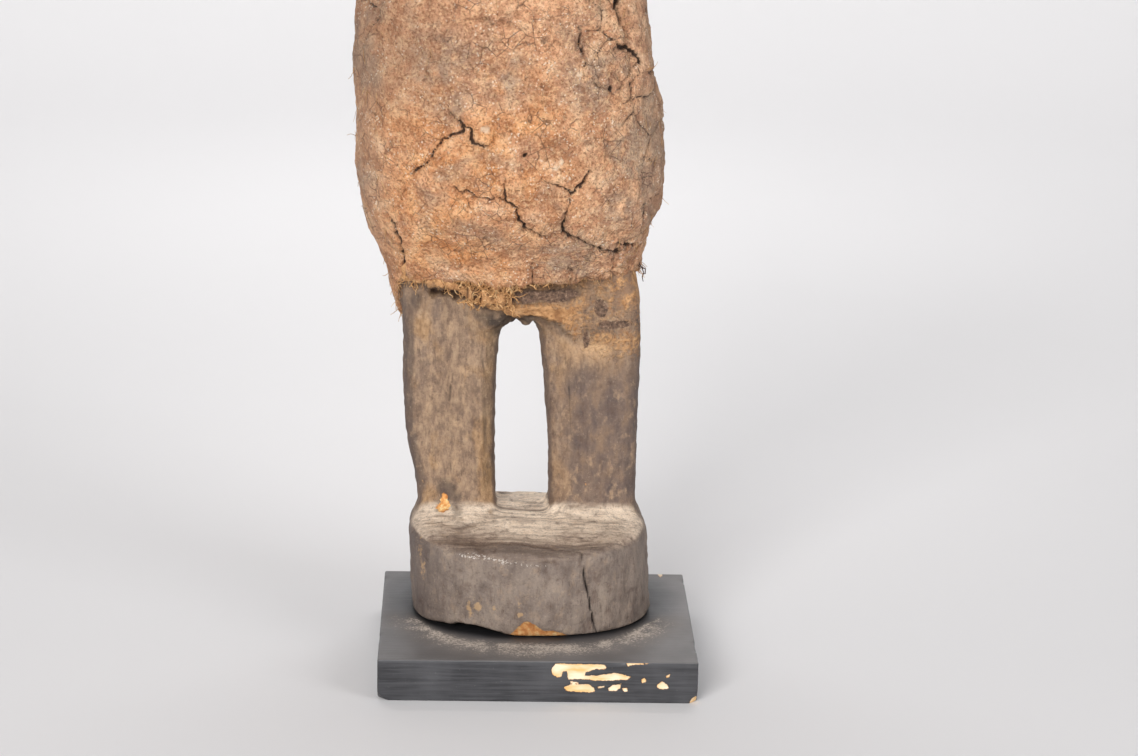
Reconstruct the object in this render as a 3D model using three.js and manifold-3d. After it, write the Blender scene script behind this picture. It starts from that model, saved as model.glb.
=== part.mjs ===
import * as THREE from 'three';
import { mergeVertices } from 'three/addons/utils/BufferGeometryUtils.js';
import Module from 'manifold-3d';

// A carved wooden standing figure with a cloth-wound, earth-crusted torso, on a black display board.
// Millimetres, +Z up. The figure faces -Y, and the origin is the middle of the board's underside.

// Display plinth
const PLINTH_WIDTH = 140;
const PLINTH_DEPTH = 120;
const PLINTH_HEIGHT = 19;
const PLINTH_EDGE_BREAK = 0.7;
const LEFT_CHIP = [4.5, 5, 4];
const RIGHT_CHIP = [3.6, 4, 6];

// Carved figure and its wrapping
const FIGURE_HEIGHT = 480;
const FIGURE_SHIFT = -2.2;
const LEAN_DEG = 3.58;
const CLEARANCE = 0.3;
const BLOCK_WIDTH = 107.6;
const BLOCK_DEPTH = 86;
const BLOCK_HEIGHT = 44;
const BLOCK_SETBACK = 13;
const BLOCK_FRONT_FALL = 6;
const BLOCK_CORNER_LIFT = 3;
const HEAD_HEIGHT = 98;
const HEAD_WIDTH = 70;
const HEAD_DEPTH = 80;
const HAIR_STEP = 2.2;
const EAR_STANDOFF = 5;
const ARM_GROOVE_DEPTH = 3;

// Faceting
const BLOCK_SIDES = 44;
const LEG_SIDES = 20;
const TRUNK_SIDES = 24;
const HEAD_SIDES = 44;
const EAR_SIDES = 12;
const WRAP_SIDES = 48;

const wasm = await Module();
wasm.setup();

// The carving's free proportions are in hundredths of its own height, from its underside up.
const U = FIGURE_HEIGHT / 100;
const FRONT = -Math.PI / 2;

const smoothstep = THREE.MathUtils.smoothstep;
const bump = (distance, width) => Math.exp(-((distance / width) ** 2));

// The way round from one direction to another, from -PI to PI.
function turn(angle, from) {
  return Math.atan2(Math.sin(angle - from), Math.cos(angle - from));
}

// A smooth function of height through a few [height, value] points, level beyond its ends.
function curve(points) {
  const slope = points.map((point, i) => {
    const before = points[Math.max(i - 1, 0)];
    const after = points[Math.min(i + 1, points.length - 1)];
    return (after[1] - before[1]) / (after[0] - before[0]);
  });
  return (height) => {
    const last = points.length - 1;
    if (height <= points[0][0]) return points[0][1];
    if (height >= points[last][0]) return points[last][1];
    const i = points.findIndex((point) => point[0] > height) - 1;
    const run = points[i + 1][0] - points[i][0];
    const t = (height - points[i][0]) / run;
    const [a, b] = [points[i][1], points[i + 1][1]];
    const ease = t * t * (3 - 2 * t);
    return a + (b - a) * ease + run * t * (1 - t) * ((1 - t) * slope[i] - t * slope[i + 1]);
  };
}

// A point of a rounded section that fills the box left..right, front..back.
function onSection({ left, right, front, back, square }, angle) {
  const reach = (value) => Math.sign(value) * Math.abs(value) ** (2 / square);
  return [
    (left + right) / 2 + ((right - left) / 2) * reach(Math.cos(angle)),
    (front + back) / 2 + ((back - front) / 2) * reach(Math.sin(angle)),
  ];
}

// A closed solid of stacked rings. place(level, angle) gives the points of the ring at one level.
function loft(levels, sides, place) {
  const geometry = new THREE.CylinderGeometry(1, 1, 1, sides, levels.length - 1);
  geometry.rotateX(Math.PI / 2);
  const position = geometry.attributes.position;
  const step = (2 * Math.PI) / sides;
  for (let i = 0; i < position.count; i++) {
    const [x, y, z] = [position.getX(i), position.getY(i), position.getZ(i)];
    const level = levels[Math.round((z + 0.5) * (levels.length - 1))];
    const side = (Math.round(Math.atan2(y, x) / step) + sides) % sides;
    const point = Math.hypot(x, y) > 0.5 ? place(level, side * step) : ringMiddle(level, sides, place);
    position.setXYZ(i, ...point);
  }
  return toSolid(geometry);
}

function ringMiddle(level, sides, place) {
  const middle = new THREE.Vector3();
  for (let side = 0; side < sides; side++) {
    middle.add(new THREE.Vector3(...place(level, (side / sides) * 2 * Math.PI)));
  }
  return middle.divideScalar(sides).toArray();
}

function toSolid(geometry) {
  const bare = geometry.index ? geometry.toNonIndexed() : geometry;
  bare.deleteAttribute('normal');
  bare.deleteAttribute('uv');
  const merged = mergeVertices(bare, 1e-4);
  const corners = Array.from(merged.index.array);
  const triangles = corners.filter((corner, i) => {
    const [a, b, c] = corners.slice(i - (i % 3), i - (i % 3) + 3);
    return a !== b && b !== c && c !== a;
  });
  return new wasm.Manifold(new wasm.Mesh({
    numProp: 3,
    vertProperties: new Float32Array(merged.attributes.position.array),
    triVerts: new Uint32Array(triangles),
  }));
}

function toMesh(name, solid, material) {
  const { vertProperties, triVerts } = solid.getMesh();
  const geometry = new THREE.BufferGeometry();
  geometry.setAttribute('position', new THREE.BufferAttribute(vertProperties, 3));
  geometry.setIndex(new THREE.BufferAttribute(triVerts, 1));
  geometry.computeVertexNormals();
  const mesh = new THREE.Mesh(geometry, material);
  mesh.name = name;
  return mesh;
}

// Base block: its top falls towards the front edge, and one front corner of its foot is worn up.
function block(grow) {
  const halfWidth = BLOCK_WIDTH / 2 + grow;
  const halfDepth = BLOCK_DEPTH / 2 + grow;
  const rings = [
    { share: 0, inset: 0.3 },
    { share: 0, inset: 0.03 },
    { share: 0.06, inset: 0 },
    { share: 0.45, inset: -0.005 },
    { share: 0.85, inset: 0.01 },
    { share: 0.95, inset: 0.035 },
    { share: 1, inset: 0.09 },
    { share: 1, inset: 0.3 },
    { share: 1, inset: 0.6 },
  ];
  return loft(rings, BLOCK_SIDES, ({ share, inset }, angle) => {
    const section = { left: -1, right: 1, front: -1, back: 1, square: Math.sin(angle) < 0 ? 2.2 : 3.6 };
    const [across, along] = onSection(section, angle).map((value) => value * (1 - inset));
    const fall = BLOCK_FRONT_FALL * smoothstep(-along, -0.1, 1) * (1 + 0.25 * bump(across - 0.2, 0.3));
    const top = BLOCK_HEIGHT - fall - 0.03 * BLOCK_HEIGHT * smoothstep(along, 0.3, 1);
    const frontLeft = smoothstep(-across, 0.15, 0.6) * smoothstep(-along, 0.3, 0.7);
    const worn = frontLeft * smoothstep(0.2 - inset, 0, 0.15);
    const foot = BLOCK_CORNER_LIFT * worn * (1 - share);
    return [across * halfWidth, BLOCK_SETBACK + along * halfDepth, share * (top + grow) + foot];
  });
}

// Legs: two square posts with softened corners. They flare into the block and lean together above.
const LEG_LEVELS = [5.5, 8.6, 9.4, 10.4, 12, 15.3, 18.3, 21.2, 24, 25.8, 27, 27.8, 28.6, 30, 33];
const LEGS = {
  left_leg: {
    outer: curve([[5, -9.9], [10.3, -10.25], [18.3, -10.95], [24, -10.75], [33, -10.6]]),
    inner: curve([[8, -3.1], [10.4, -2.85], [18.3, -2.5], [24, -2], [27, -1.15], [28.2, 0.6], [30, 2.5]]),
    groove: -6.4,
  },
  right_leg: {
    outer: curve([[5, 10.4], [10.3, 10.35], [15.3, 10.65], [24, 11.3], [33, 11.45]]),
    inner: curve([[8, 2], [10.4, 2.25], [15.3, 2.4], [24, 2.25], [27, 1.85], [28.2, 0.6], [30, -1.5]]),
    groove: 5.4,
  },
};
const LEG_FRONT = curve([[8, 1.2], [9, 2.1], [10.4, 3], [12.5, 3.4], [27, 3.3], [33, 3]]);
const LEG_BACK = curve([[8, 10.1], [11, 9.8], [27, 10], [33, 11]]);

function leg({ outer, inner, groove }, grow) {
  return loft(LEG_LEVELS, LEG_SIDES, (height, angle) => {
    const edges = [outer(height) * U, inner(height) * U];
    const section = {
      left: Math.min(...edges) - grow,
      right: Math.max(...edges) + grow,
      front: LEG_FRONT(height) * U - grow,
      back: LEG_BACK(height) * U + grow,
      square: 4.2,
    };
    const [x, y] = onSection(section, angle);
    const carved = y < section.front + U ? 0.25 * U * bump(x / U - groove, 0.45) : 0;
    return [x, y + carved, height * U];
  });
}

// Trunk and neck, hidden by the wrapping from the hips to the shoulders.
const TRUNK_LEVELS = [27.6, 28.3, 29.4, 32, 36, 40, 44, 50, 57, 65, 70, 74, 77, 80];
const TRUNK_HALF_WIDTH = curve([[27.6, 6], [28.3, 9.4], [29.4, 10.7], [33, 10.5], [40, 7], [50, 6.1],
  [57, 6.3], [65, 7.1], [70, 7.3], [74, 5.6], [77, 3.7], [80, 3.5]]);
const TRUNK_FRONT = curve([[27.6, 5], [29.4, 3.1], [36, 2.6], [44, 2.4], [57, 2.2], [70, 2.4], [77, 2.5],
  [80, 2.6]]);
const TRUNK_BACK = curve([[27.6, 9], [29.4, 11], [36, 10.9], [44, 9.6], [57, 9.6], [70, 9.5], [77, 9.3],
  [80, 9.2]]);

function trunk(grow) {
  return loft(TRUNK_LEVELS, TRUNK_SIDES, (height, angle) => {
    const section = {
      left: -TRUNK_HALF_WIDTH(height) * U - grow,
      right: TRUNK_HALF_WIDTH(height) * U + grow,
      front: TRUNK_FRONT(height) * U - grow,
      back: TRUNK_BACK(height) * U + grow,
      square: 2.6,
    };
    return [...onSection(section, angle), height * U];
  });
}

const NECK_RADIUS = 3.6 * U;
const NECK_AXIS = 5.9 * U;

function neck(grow) {
  const chin = FIGURE_HEIGHT - HEAD_HEIGHT;
  const levels = [77 * U, chin, chin + 0.35 * HEAD_HEIGHT];
  return loft(levels, TRUNK_SIDES, (height, angle) => {
    const radius = NECK_RADIUS + grow;
    return [radius * Math.cos(angle), NECK_AXIS + radius * Math.sin(angle), height];
  });
}

// Head: sections from the chin at 0 to the crown at 1. Breadths are shares of the head's own sizes.
const HEAD_LEVELS = [0, 0.03, 0.07, 0.11, 0.145, 0.175, 0.2, 0.225, 0.255, 0.285, 0.31, 0.34, 0.38, 0.42,
  0.455, 0.48, 0.505, 0.53, 0.56, 0.59, 0.625, 0.665, 0.71, 0.74, 0.77, 0.81, 0.86, 0.91, 0.95, 0.98, 1];
const HEAD_HALF_WIDTH = curve([[0, 0.1], [0.04, 0.23], [0.12, 0.33], [0.3, 0.445], [0.5, 0.485], [0.65, 0.5],
  [0.8, 0.45], [0.9, 0.34], [0.96, 0.22], [1, 0.05]]);
const HEAD_FRONT = curve([[0, 0.34], [0.04, 0.4], [0.11, 0.43], [0.2, 0.435], [0.35, 0.425], [0.5, 0.42],
  [0.6, 0.45], [0.72, 0.43], [0.82, 0.35], [0.9, 0.25], [0.96, 0.14], [1, 0.03]]);
const HEAD_BACK = curve([[0, -0.22], [0.05, -0.08], [0.14, 0.16], [0.3, 0.36], [0.5, 0.5], [0.66, 0.535],
  [0.8, 0.46], [0.9, 0.31], [0.96, 0.18], [1, 0.03]]);
const HEAD_AXIS = NECK_AXIS + 0.02 * HEAD_DEPTH;
const EYE_OUT = 0.2;
const EYE_LEVEL = 0.49;
const BROW_LEVEL = 0.575;
const NOSE_TIP = 0.31;
const MOUTH_LEVEL = 0.185;
const LIP = 0.025;
const EAR_LEVEL = 0.45;
const HAIRLINE = curve([[0, 0.755], [0.35, 0.74], [0.5, 0.62], [0.62, 0.38], [1, 0.3]]);

// How far the face stands forward of the plain head, in shares of its height. across is in head widths.
function face(across, level) {
  const side = Math.abs(across);
  const down = smoothstep(BROW_LEVEL - level, 0, BROW_LEVEL - NOSE_TIP);
  const arch = level - BROW_LEVEL + 0.9 * (side - 0.17) ** 2;
  const brow = 0.032 * bump(arch, 0.026) * smoothstep(0.42 - side, 0, 0.14) * smoothstep(side, 0, 0.1);
  const socket = -0.055 * bump(side - EYE_OUT, 0.14) * bump(level - EYE_LEVEL - 0.01, 0.06);
  const eye = 0.07 * bump(side - EYE_OUT, 0.1) * bump(level - EYE_LEVEL, 0.033);
  const bridge = smoothstep(level, NOSE_TIP - 0.03, NOSE_TIP)
    * smoothstep(BROW_LEVEL + 0.03 - level, 0, 0.05);
  const nose = (0.03 + 0.09 * down) * bridge * bump(side, 0.07 + 0.05 * down);
  const muzzle = 0.03 * bump(side, 0.24) * bump(level - MOUTH_LEVEL, 0.09);
  const lips = 0.034 * (bump(level - MOUTH_LEVEL - LIP, 0.018) + bump(level - MOUTH_LEVEL + LIP, 0.02));
  const mouth = lips * smoothstep(0.21 - side, 0, 0.09);
  const chin = 0.03 * bump(side, 0.18) * bump(level - 0.06, 0.045);
  return brow + socket + eye + nose + muzzle + mouth + chin;
}

function head(grow) {
  const chin = FIGURE_HEIGHT - HEAD_HEIGHT - grow;
  const tall = HEAD_HEIGHT + 2 * grow;
  const skull = loft(HEAD_LEVELS, HEAD_SIDES, (level, angle) => {
    const around = turn(angle, FRONT);
    const dense = FRONT + around - 0.42 * Math.sin(around);
    const section = {
      left: -HEAD_HALF_WIDTH(level) * HEAD_WIDTH - grow,
      right: HEAD_HALF_WIDTH(level) * HEAD_WIDTH + grow,
      front: -HEAD_FRONT(level) * HEAD_DEPTH - grow,
      back: HEAD_BACK(level) * HEAD_DEPTH + grow,
      square: 2.15,
    };
    const [x, y] = onSection(section, dense);
    const facing = smoothstep(-Math.sin(dense), 0.1, 0.5);
    const forward = face(x / HEAD_WIDTH, level) * HEAD_HEIGHT * facing;
    const hair = HAIR_STEP * smoothstep(level - HAIRLINE(Math.abs(turn(dense, FRONT)) / Math.PI), 0, 0.03);
    const along = HEAD_AXIS + y - forward + hair * Math.sin(dense);
    return [x + hair * Math.cos(dense), along, chin + level * tall];
  });
  return skull.add(ear(-1, grow)).add(ear(1, grow));
}

// An ear is a flat oval lug with a hollow in its outer side.
function ear(side, grow) {
  const base = HEAD_HALF_WIDTH(EAR_LEVEL) * HEAD_WIDTH;
  const level = FIGURE_HEIGHT - HEAD_HEIGHT * (1 - EAR_LEVEL);
  const size = [EAR_STANDOFF, 0.105 * HEAD_DEPTH, 0.13 * HEAD_HEIGHT];
  const lug = oval(size.map((radius) => radius + grow), [side * base, HEAD_AXIS, level]);
  const hollowAt = [side * (base + 1.1 * EAR_STANDOFF), HEAD_AXIS - 0.02 * HEAD_DEPTH, level];
  return lug.subtract(oval(size.map((radius) => 0.6 * radius - grow), hollowAt));
}

function oval(radii, centre) {
  const geometry = new THREE.SphereGeometry(1, EAR_SIDES, EAR_SIDES / 2);
  geometry.scale(...radii);
  geometry.translate(...centre);
  return toSolid(geometry);
}

// Wrapping: layers of cloth under a thick earthen crust, swelling over the hips and bound arms.
const WRAP_LEVELS = [31.2, 31.7, 32.8, 34, 35.4, 36.8, 38.2, 39.6, 41, 43, 45.2, 47.4, 49, 50.6, 52.2, 54,
  56, 58.4, 61, 64, 67, 69.6, 71.8, 73.6, 75, 76.2, 77, 77.4];
const HEM = 31.2;
const WRAP_LEFT = curve([[28, -11.4], [32.8, -12.25], [36.5, -13.35], [40.3, -14.05], [44.1, -14.35],
  [49.7, -13.95], [57, -13.25], [64, -12.9], [69, -12.1], [72, -11], [74.5, -8.9], [76.4, -6.6], [77.4, -5]]);
const WRAP_RIGHT = curve([[28, 11.4], [32.8, 11.8], [36.5, 13.05], [38.6, 13.95], [44.1, 14.1], [49.7, 13.85],
  [57, 13.3], [64, 12.9], [69, 12.1], [72, 11], [74.5, 8.9], [76.4, 6.6], [77.4, 5]]);
const WRAP_FRONT = curve([[28, 1.9], [32.8, 0.6], [38, -2.9], [43, -4.1], [50, -4], [57, -3.5], [64, -2.9],
  [69, -1.9], [72, -0.8], [74.5, 0.6], [76.4, 1.5], [77.4, 2]]);
const WRAP_BACK = curve([[28, 11.9], [32.8, 12.8], [38, 14.5], [43, 15.1], [50, 15], [57, 14.6], [64, 14.1],
  [69, 13.3], [72, 12.4], [74.5, 11.2], [76.4, 10.3], [77.4, 9.8]]);

// The hem's height varies round the figure: a flap hangs over one hip and the other side rides up.
function hem(angle) {
  const flap = -3.3 * bump(turn(angle, Math.PI * 1.02), 0.24);
  const rise = 1.1 * bump(turn(angle, -0.3), 0.55);
  const sag = -0.7 * bump(turn(angle, -2.1), 0.3) - 0.6 * bump(turn(angle, Math.PI / 2), 0.7);
  return HEM + flap + rise + sag + 0.25 * Math.sin(5 * angle);
}

// Broad lumps of the crust, and the furrows in front of the two bound arms, positive outwards.
function crust(angle, height) {
  const lumps = 0.14 * Math.sin(3 * angle + 0.31 * height) + 0.11 * Math.sin(5 * angle - 0.42 * height + 1.7)
    + 0.08 * Math.sin(9 * angle + 0.83 * height);
  const nearArm = smoothstep(height, 50.5, 53.5) * smoothstep(72 - height, 0, 6);
  const farArm = smoothstep(height, 57, 62) * smoothstep(72 - height, 0, 6);
  const near = nearArm * bump(turn(angle, -0.62), 0.07);
  const far = 0.6 * farArm * bump(turn(angle, -2.5), 0.08);
  const furrows = (near + far) * ARM_GROOVE_DEPTH / U;
  const forearm = 0.3 * bump(turn(angle, -0.4), 0.2) * bump(height - 53, 3);
  const corner = 0.12 * bump(turn(angle, -0.1), 0.25) * bump(height - 39.4, 1.8);
  return lumps * smoothstep(height, HEM, HEM + 4) - furrows + forearm + corner;
}

function wrapOutside() {
  return loft(WRAP_LEVELS, WRAP_SIDES, (level, angle) => {
    const height = level + (hem(angle) - HEM) * (1 - smoothstep(level, HEM, HEM + 7));
    const section = {
      left: WRAP_LEFT(height) * U,
      right: WRAP_RIGHT(height) * U,
      front: WRAP_FRONT(height) * U,
      back: WRAP_BACK(height) * U,
      square: 2.25,
    };
    const [x, y] = onSection(section, angle);
    const out = crust(angle, height) * U;
    return [x + out * Math.cos(angle), y + out * Math.sin(angle), height * U];
  });
}

// The carving is one piece of wood, so its parts are joined. grow makes the same form a little larger.
function carving(grow) {
  const legs = Object.values(LEGS).map((posts) => leg(posts, grow));
  const parts = [block(grow), ...legs, trunk(grow), neck(grow), head(grow)];
  return parts.reduce((whole, part) => whole.add(part));
}

// Everything above the plinth stands on its top and leans to one side, with its foot flat.
function standOnPlinth(solid) {
  const slope = Math.tan(THREE.MathUtils.degToRad(LEAN_DEG));
  return solid.warp((point) => {
    point[0] += FIGURE_SHIFT - slope * point[2];
    point[2] += PLINTH_HEIGHT + CLEARANCE;
  });
}

function plinth() {
  const outline = new THREE.Shape();
  outline.moveTo(-PLINTH_WIDTH / 2, -PLINTH_DEPTH / 2);
  outline.lineTo(PLINTH_WIDTH / 2, -PLINTH_DEPTH / 2);
  outline.lineTo(PLINTH_WIDTH / 2, PLINTH_DEPTH / 2);
  outline.lineTo(-PLINTH_WIDTH / 2, PLINTH_DEPTH / 2);
  const board = new THREE.ExtrudeGeometry(outline, {
    depth: PLINTH_HEIGHT - 2 * PLINTH_EDGE_BREAK,
    bevelThickness: PLINTH_EDGE_BREAK,
    bevelSize: PLINTH_EDGE_BREAK,
    bevelOffset: -PLINTH_EDGE_BREAK,
    bevelSegments: 1,
  });
  board.translate(0, 0, PLINTH_EDGE_BREAK);
  const chipped = toSolid(board)
    .subtract(cornerChip(LEFT_CHIP, -1))
    .subtract(cornerChip(RIGHT_CHIP, 1));
  return chipped;
}

// A knocked-off lower front corner of the board.
function cornerChip([wide, deep, tall], side) {
  const chip = new THREE.OctahedronGeometry(1);
  chip.scale(wide, deep, tall);
  chip.translate(side * PLINTH_WIDTH / 2, -PLINTH_DEPTH / 2, 0);
  return toSolid(chip);
}

const blackPaint = new THREE.MeshStandardMaterial({ color: 0x1b1b1d, roughness: 0.5, metalness: 0 });
const wood = new THREE.MeshStandardMaterial({ color: 0x665342, roughness: 0.85, metalness: 0 });
const earthCrust = new THREE.MeshStandardMaterial({ color: 0x8a5b3e, roughness: 0.95, metalness: 0 });

const figure = new THREE.Group();
figure.add(toMesh('display_plinth', plinth(), blackPaint));
figure.add(toMesh('carved_figure', standOnPlinth(carving(0)), wood));
figure.add(toMesh('torso_wrapping', standOnPlinth(wrapOutside().subtract(carving(CLEARANCE))), earthCrust));

export default figure;
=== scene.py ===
import math

import bpy
import numpy as np
from mathutils import Matrix, Vector


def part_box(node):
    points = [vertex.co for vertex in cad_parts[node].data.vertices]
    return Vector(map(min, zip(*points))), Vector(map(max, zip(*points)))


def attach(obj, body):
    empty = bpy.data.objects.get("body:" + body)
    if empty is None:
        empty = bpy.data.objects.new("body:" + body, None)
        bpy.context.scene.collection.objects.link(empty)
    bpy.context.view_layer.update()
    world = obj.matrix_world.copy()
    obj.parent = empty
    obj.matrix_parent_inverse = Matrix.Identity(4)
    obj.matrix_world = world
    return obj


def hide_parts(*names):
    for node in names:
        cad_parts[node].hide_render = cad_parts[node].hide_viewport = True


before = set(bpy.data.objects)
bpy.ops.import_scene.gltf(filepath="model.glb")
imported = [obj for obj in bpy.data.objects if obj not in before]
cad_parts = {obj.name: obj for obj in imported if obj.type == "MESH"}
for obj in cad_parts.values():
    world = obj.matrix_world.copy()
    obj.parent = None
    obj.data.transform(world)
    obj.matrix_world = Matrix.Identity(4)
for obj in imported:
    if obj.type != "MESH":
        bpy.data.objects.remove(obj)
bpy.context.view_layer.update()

# Lengths are millimetres here, and become metres when a mesh is made. +Z is up and the figure faces -Y.
MM = 0.001


def node_box(name):
    low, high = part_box(name)
    return np.array(low) / MM, np.array(high) / MM


PLINTH_LOW, PLINTH_HIGH = node_box("display_plinth")
FIGURE_LOW, FIGURE_HIGH = node_box("carved_figure")
FOOT = FIGURE_LOW[2]
FIGURE_HEIGHT = FIGURE_HIGH[2] - FOOT
# The carving's proportions are in hundredths of its own height, from its underside up.
U = FIGURE_HEIGHT / 100

# Everything above the plinth leans to one side, so forms are worked out upright and then sheared.
FIGURE_SHIFT = -2.2
LEAN = math.tan(math.radians(3.58))

# Sizes of the carving: the rounded block under its feet, the head, and the grooves beside the arms.
BLOCK_WIDTH = 107.6
BLOCK_DEPTH = 86
BLOCK_HEIGHT = 44
BLOCK_SETBACK = 13
BLOCK_FRONT_FALL = 6
BLOCK_CORNER_LIFT = 3
HEAD_HEIGHT = 98
HEAD_WIDTH = 70
HEAD_DEPTH = 80
HAIR_STEP = 2.2
EAR_STANDOFF = 5
ARM_GROOVE_DEPTH = 3
FRONT = -math.pi / 2


# Camera and stage

def put(name, data):
    """A new object in the scene."""
    thing = bpy.data.objects.new(name, data)
    bpy.context.scene.collection.objects.link(thing)
    return thing


def add_camera():
    """The photograph's own viewpoint: fitted to the corners of the plinth."""
    focal_px, image_px, sensor = 3300, 1138, 36
    azimuth, elevation, roll = (math.radians(value) for value in (-1.813, 15.401, 1.275))
    place = Vector((-32.146, -1411.939, 519.720)) * MM
    forward = Vector((-math.sin(azimuth) * math.cos(elevation), math.cos(azimuth) * math.cos(elevation),
                      -math.sin(elevation)))
    level = Vector((math.cos(azimuth), math.sin(azimuth), 0))
    upright = level.cross(forward)
    right = level * math.cos(roll) + upright * math.sin(roll)
    up = upright * math.cos(roll) - level * math.sin(roll)
    camera = put("camera", bpy.data.cameras.new("camera"))
    camera.data.sensor_width = sensor
    camera.data.lens = sensor * focal_px / image_px
    camera.data.clip_start, camera.data.clip_end = 0.05, 20
    camera.matrix_world = Matrix.Translation(place) @ Matrix((right, up, -forward)).transposed().to_4x4()
    bpy.context.scene.camera = camera


def add_stage():
    """A pale floor that sweeps up into a backdrop far behind."""
    half, near, behind, top, radius, steps = 3.0, -2.5, 2.2, 3.5, 0.9, 16
    profile = [(near, 0.0), (0.0, 0.0), (behind - radius, 0.0)]
    for step in range(1, steps + 1):
        turn = step / steps * math.pi / 2
        profile.append((behind - radius + radius * math.sin(turn), radius - radius * math.cos(turn)))
    profile.append((behind, top))
    verts = [(x, y, z) for y, z in profile for x in (-half, half)]
    faces = [(2 * i, 2 * i + 1, 2 * i + 3, 2 * i + 2) for i in range(len(profile) - 1)]
    mesh = bpy.data.meshes.new("floor")
    mesh.from_pydata(verts, [], faces)
    mesh.polygons.foreach_set("use_smooth", [True] * len(faces))
    floor = put("floor", mesh)
    material = bpy.data.materials.new("studio_grey")
    material.use_nodes = True
    shader = material.node_tree.nodes["Principled BSDF"]
    shader.inputs["Base Color"].default_value = (0.75, 0.74, 0.745, 1)
    shader.inputs["Roughness"].default_value = 0.85
    mesh.materials.append(material)


def add_lamp(name, kind, place, power):
    lamp = bpy.data.lights.new(name, kind)
    lamp.energy = power
    light = put(name, lamp)
    light.location = place
    return light


def add_softbox(name, place, target, size, power, colour=(1, 1, 1)):
    light = add_lamp(name, "AREA", place, power)
    light.data.shape = "RECTANGLE"
    light.data.size, light.data.size_y = size
    light.data.color = colour
    light.rotation_euler = (Vector(target) - Vector(place)).to_track_quat("-Z", "Y").to_euler()


def add_pool(name, place, power, spread):
    """A soft spot that lifts the floor under it."""
    light = add_lamp(name, "SPOT", place, power)
    light.data.spot_size, light.data.spot_blend = math.radians(spread), 1
    light.data.shadow_soft_size = 0.2


def add_lights():
    middle = (0, 0, 0.2)
    add_softbox("key_softbox", (-0.8, -2.0, 1.0), middle, (1.0, 1.0), 48, (1.0, 0.99, 0.98))
    add_softbox("fill_softbox", (1.5, -1.2, 0.9), middle, (1.0, 1.2), 15, (0.99, 0.99, 1.0))
    add_softbox("top_softbox", (0.0, 0.2, 2.2), middle, (1.8, 1.8), 6)
    add_softbox("backdrop_strip", (0, 1.0, 1.7), (0, 2.1, 0.2), (2.4, 0.5), 23.5)
    add_pool("backdrop_pool", (0, 0.85, 1.0), 6.6, 56)
    add_pool("near_pool", (0, 0.34, 0.7), 3.8, 52)
    world = bpy.data.worlds.new("studio")
    world.use_nodes = True
    sky = world.node_tree.nodes["Background"].inputs
    sky["Color"].default_value = (0.9, 0.9, 0.92, 1)
    sky["Strength"].default_value = 0.14
    bpy.context.scene.world = world
    bpy.context.scene.view_settings.view_transform = "Standard"


add_camera()
add_stage()
add_lights()


# Small shape functions, all on numpy arrays

def ease(value, low, high):
    """From 0 at one value to 1 at another, with a gentle start and end."""
    t = np.clip((value - low) / (high - low), 0, 1)
    return t * t * (3 - 2 * t)


def bump(distance, width):
    return np.exp(-(distance / width) ** 2)


def turned(angle, start):
    """The way round from one direction to another, from -pi to pi."""
    return np.arctan2(np.sin(angle - start), np.cos(angle - start))


def curve(points):
    """A smooth function through a few (place, value) points, level beyond its ends."""
    at, value = np.array(points, float).T
    before = np.maximum(np.arange(len(at)) - 1, 0)
    after = np.minimum(np.arange(len(at)) + 1, len(at) - 1)
    slope = (value[after] - value[before]) / (at[after] - at[before])

    def evaluate(place):
        place = np.clip(place, at[0], at[-1])
        i = np.clip(np.searchsorted(at, place, side="right") - 1, 0, len(at) - 2)
        run = at[i + 1] - at[i]
        t = (place - at[i]) / run
        bend = run * t * (1 - t) * ((1 - t) * slope[i] - t * slope[i + 1])
        return value[i] + (value[i + 1] - value[i]) * ease(t, 0, 1) + bend
    return evaluate


def soft_min(a, b, blend):
    overlap = np.maximum(blend - np.abs(a - b), 0) / blend
    return np.minimum(a, b) - overlap * overlap * blend / 4


def soft_max(a, b, blend):
    return -soft_min(-a, -b, blend)


# Seeded noise on points, an (n, 3) array

# Large numbers that scramble a cell's place and the seed, and the constants of two further stirs.
CELL_FACTORS = 374761393, 668265263, 1440662683
SEED_FACTOR = 1274126177
STIRS = ((1103515245, 12345), (69069, 1))
POSITIVE = 0x7fffffff


def hashed(cell, seed):
    """A steady random value from 0 to 1 for each cell of whole numbers."""
    mixed = sum(cell[..., axis] * factor for axis, factor in enumerate(CELL_FACTORS)) + seed * SEED_FACTOR
    mixed = (mixed ^ (mixed >> 13)) & POSITIVE
    mixed = (mixed * STIRS[0][0] + STIRS[0][1]) & POSITIVE
    mixed = ((mixed ^ (mixed >> 11)) * STIRS[1][0] + STIRS[1][1]) & POSITIVE
    return (mixed >> 7 & 0xffff) / 0xffff


def noise(points, size, seed):
    """Smooth noise from -1 to 1 with features of the given size: one length, or one for each axis."""
    scaled = points / np.asarray(size, float)
    cell = np.floor(scaled).astype(np.int64)
    t = scaled - cell
    t = t * t * t * (t * (t * 6 - 15) + 10)
    total = 0
    for corner in np.ndindex(2, 2, 2):
        weight = np.prod(np.where(corner, t, 1 - t), axis=-1)
        total = total + weight * hashed(cell + corner, seed)
    return total * 2 - 1


def layered(points, size, layers, seed):
    """Noise in layers, each with half the size and half the weight of the one before."""
    size = np.asarray(size, float)
    parts = [0.5 ** layer * noise(points, size / 2 ** layer, seed + 17 * layer) for layer in range(layers)]
    return sum(parts) / sum(0.5 ** layer for layer in range(layers))


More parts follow.
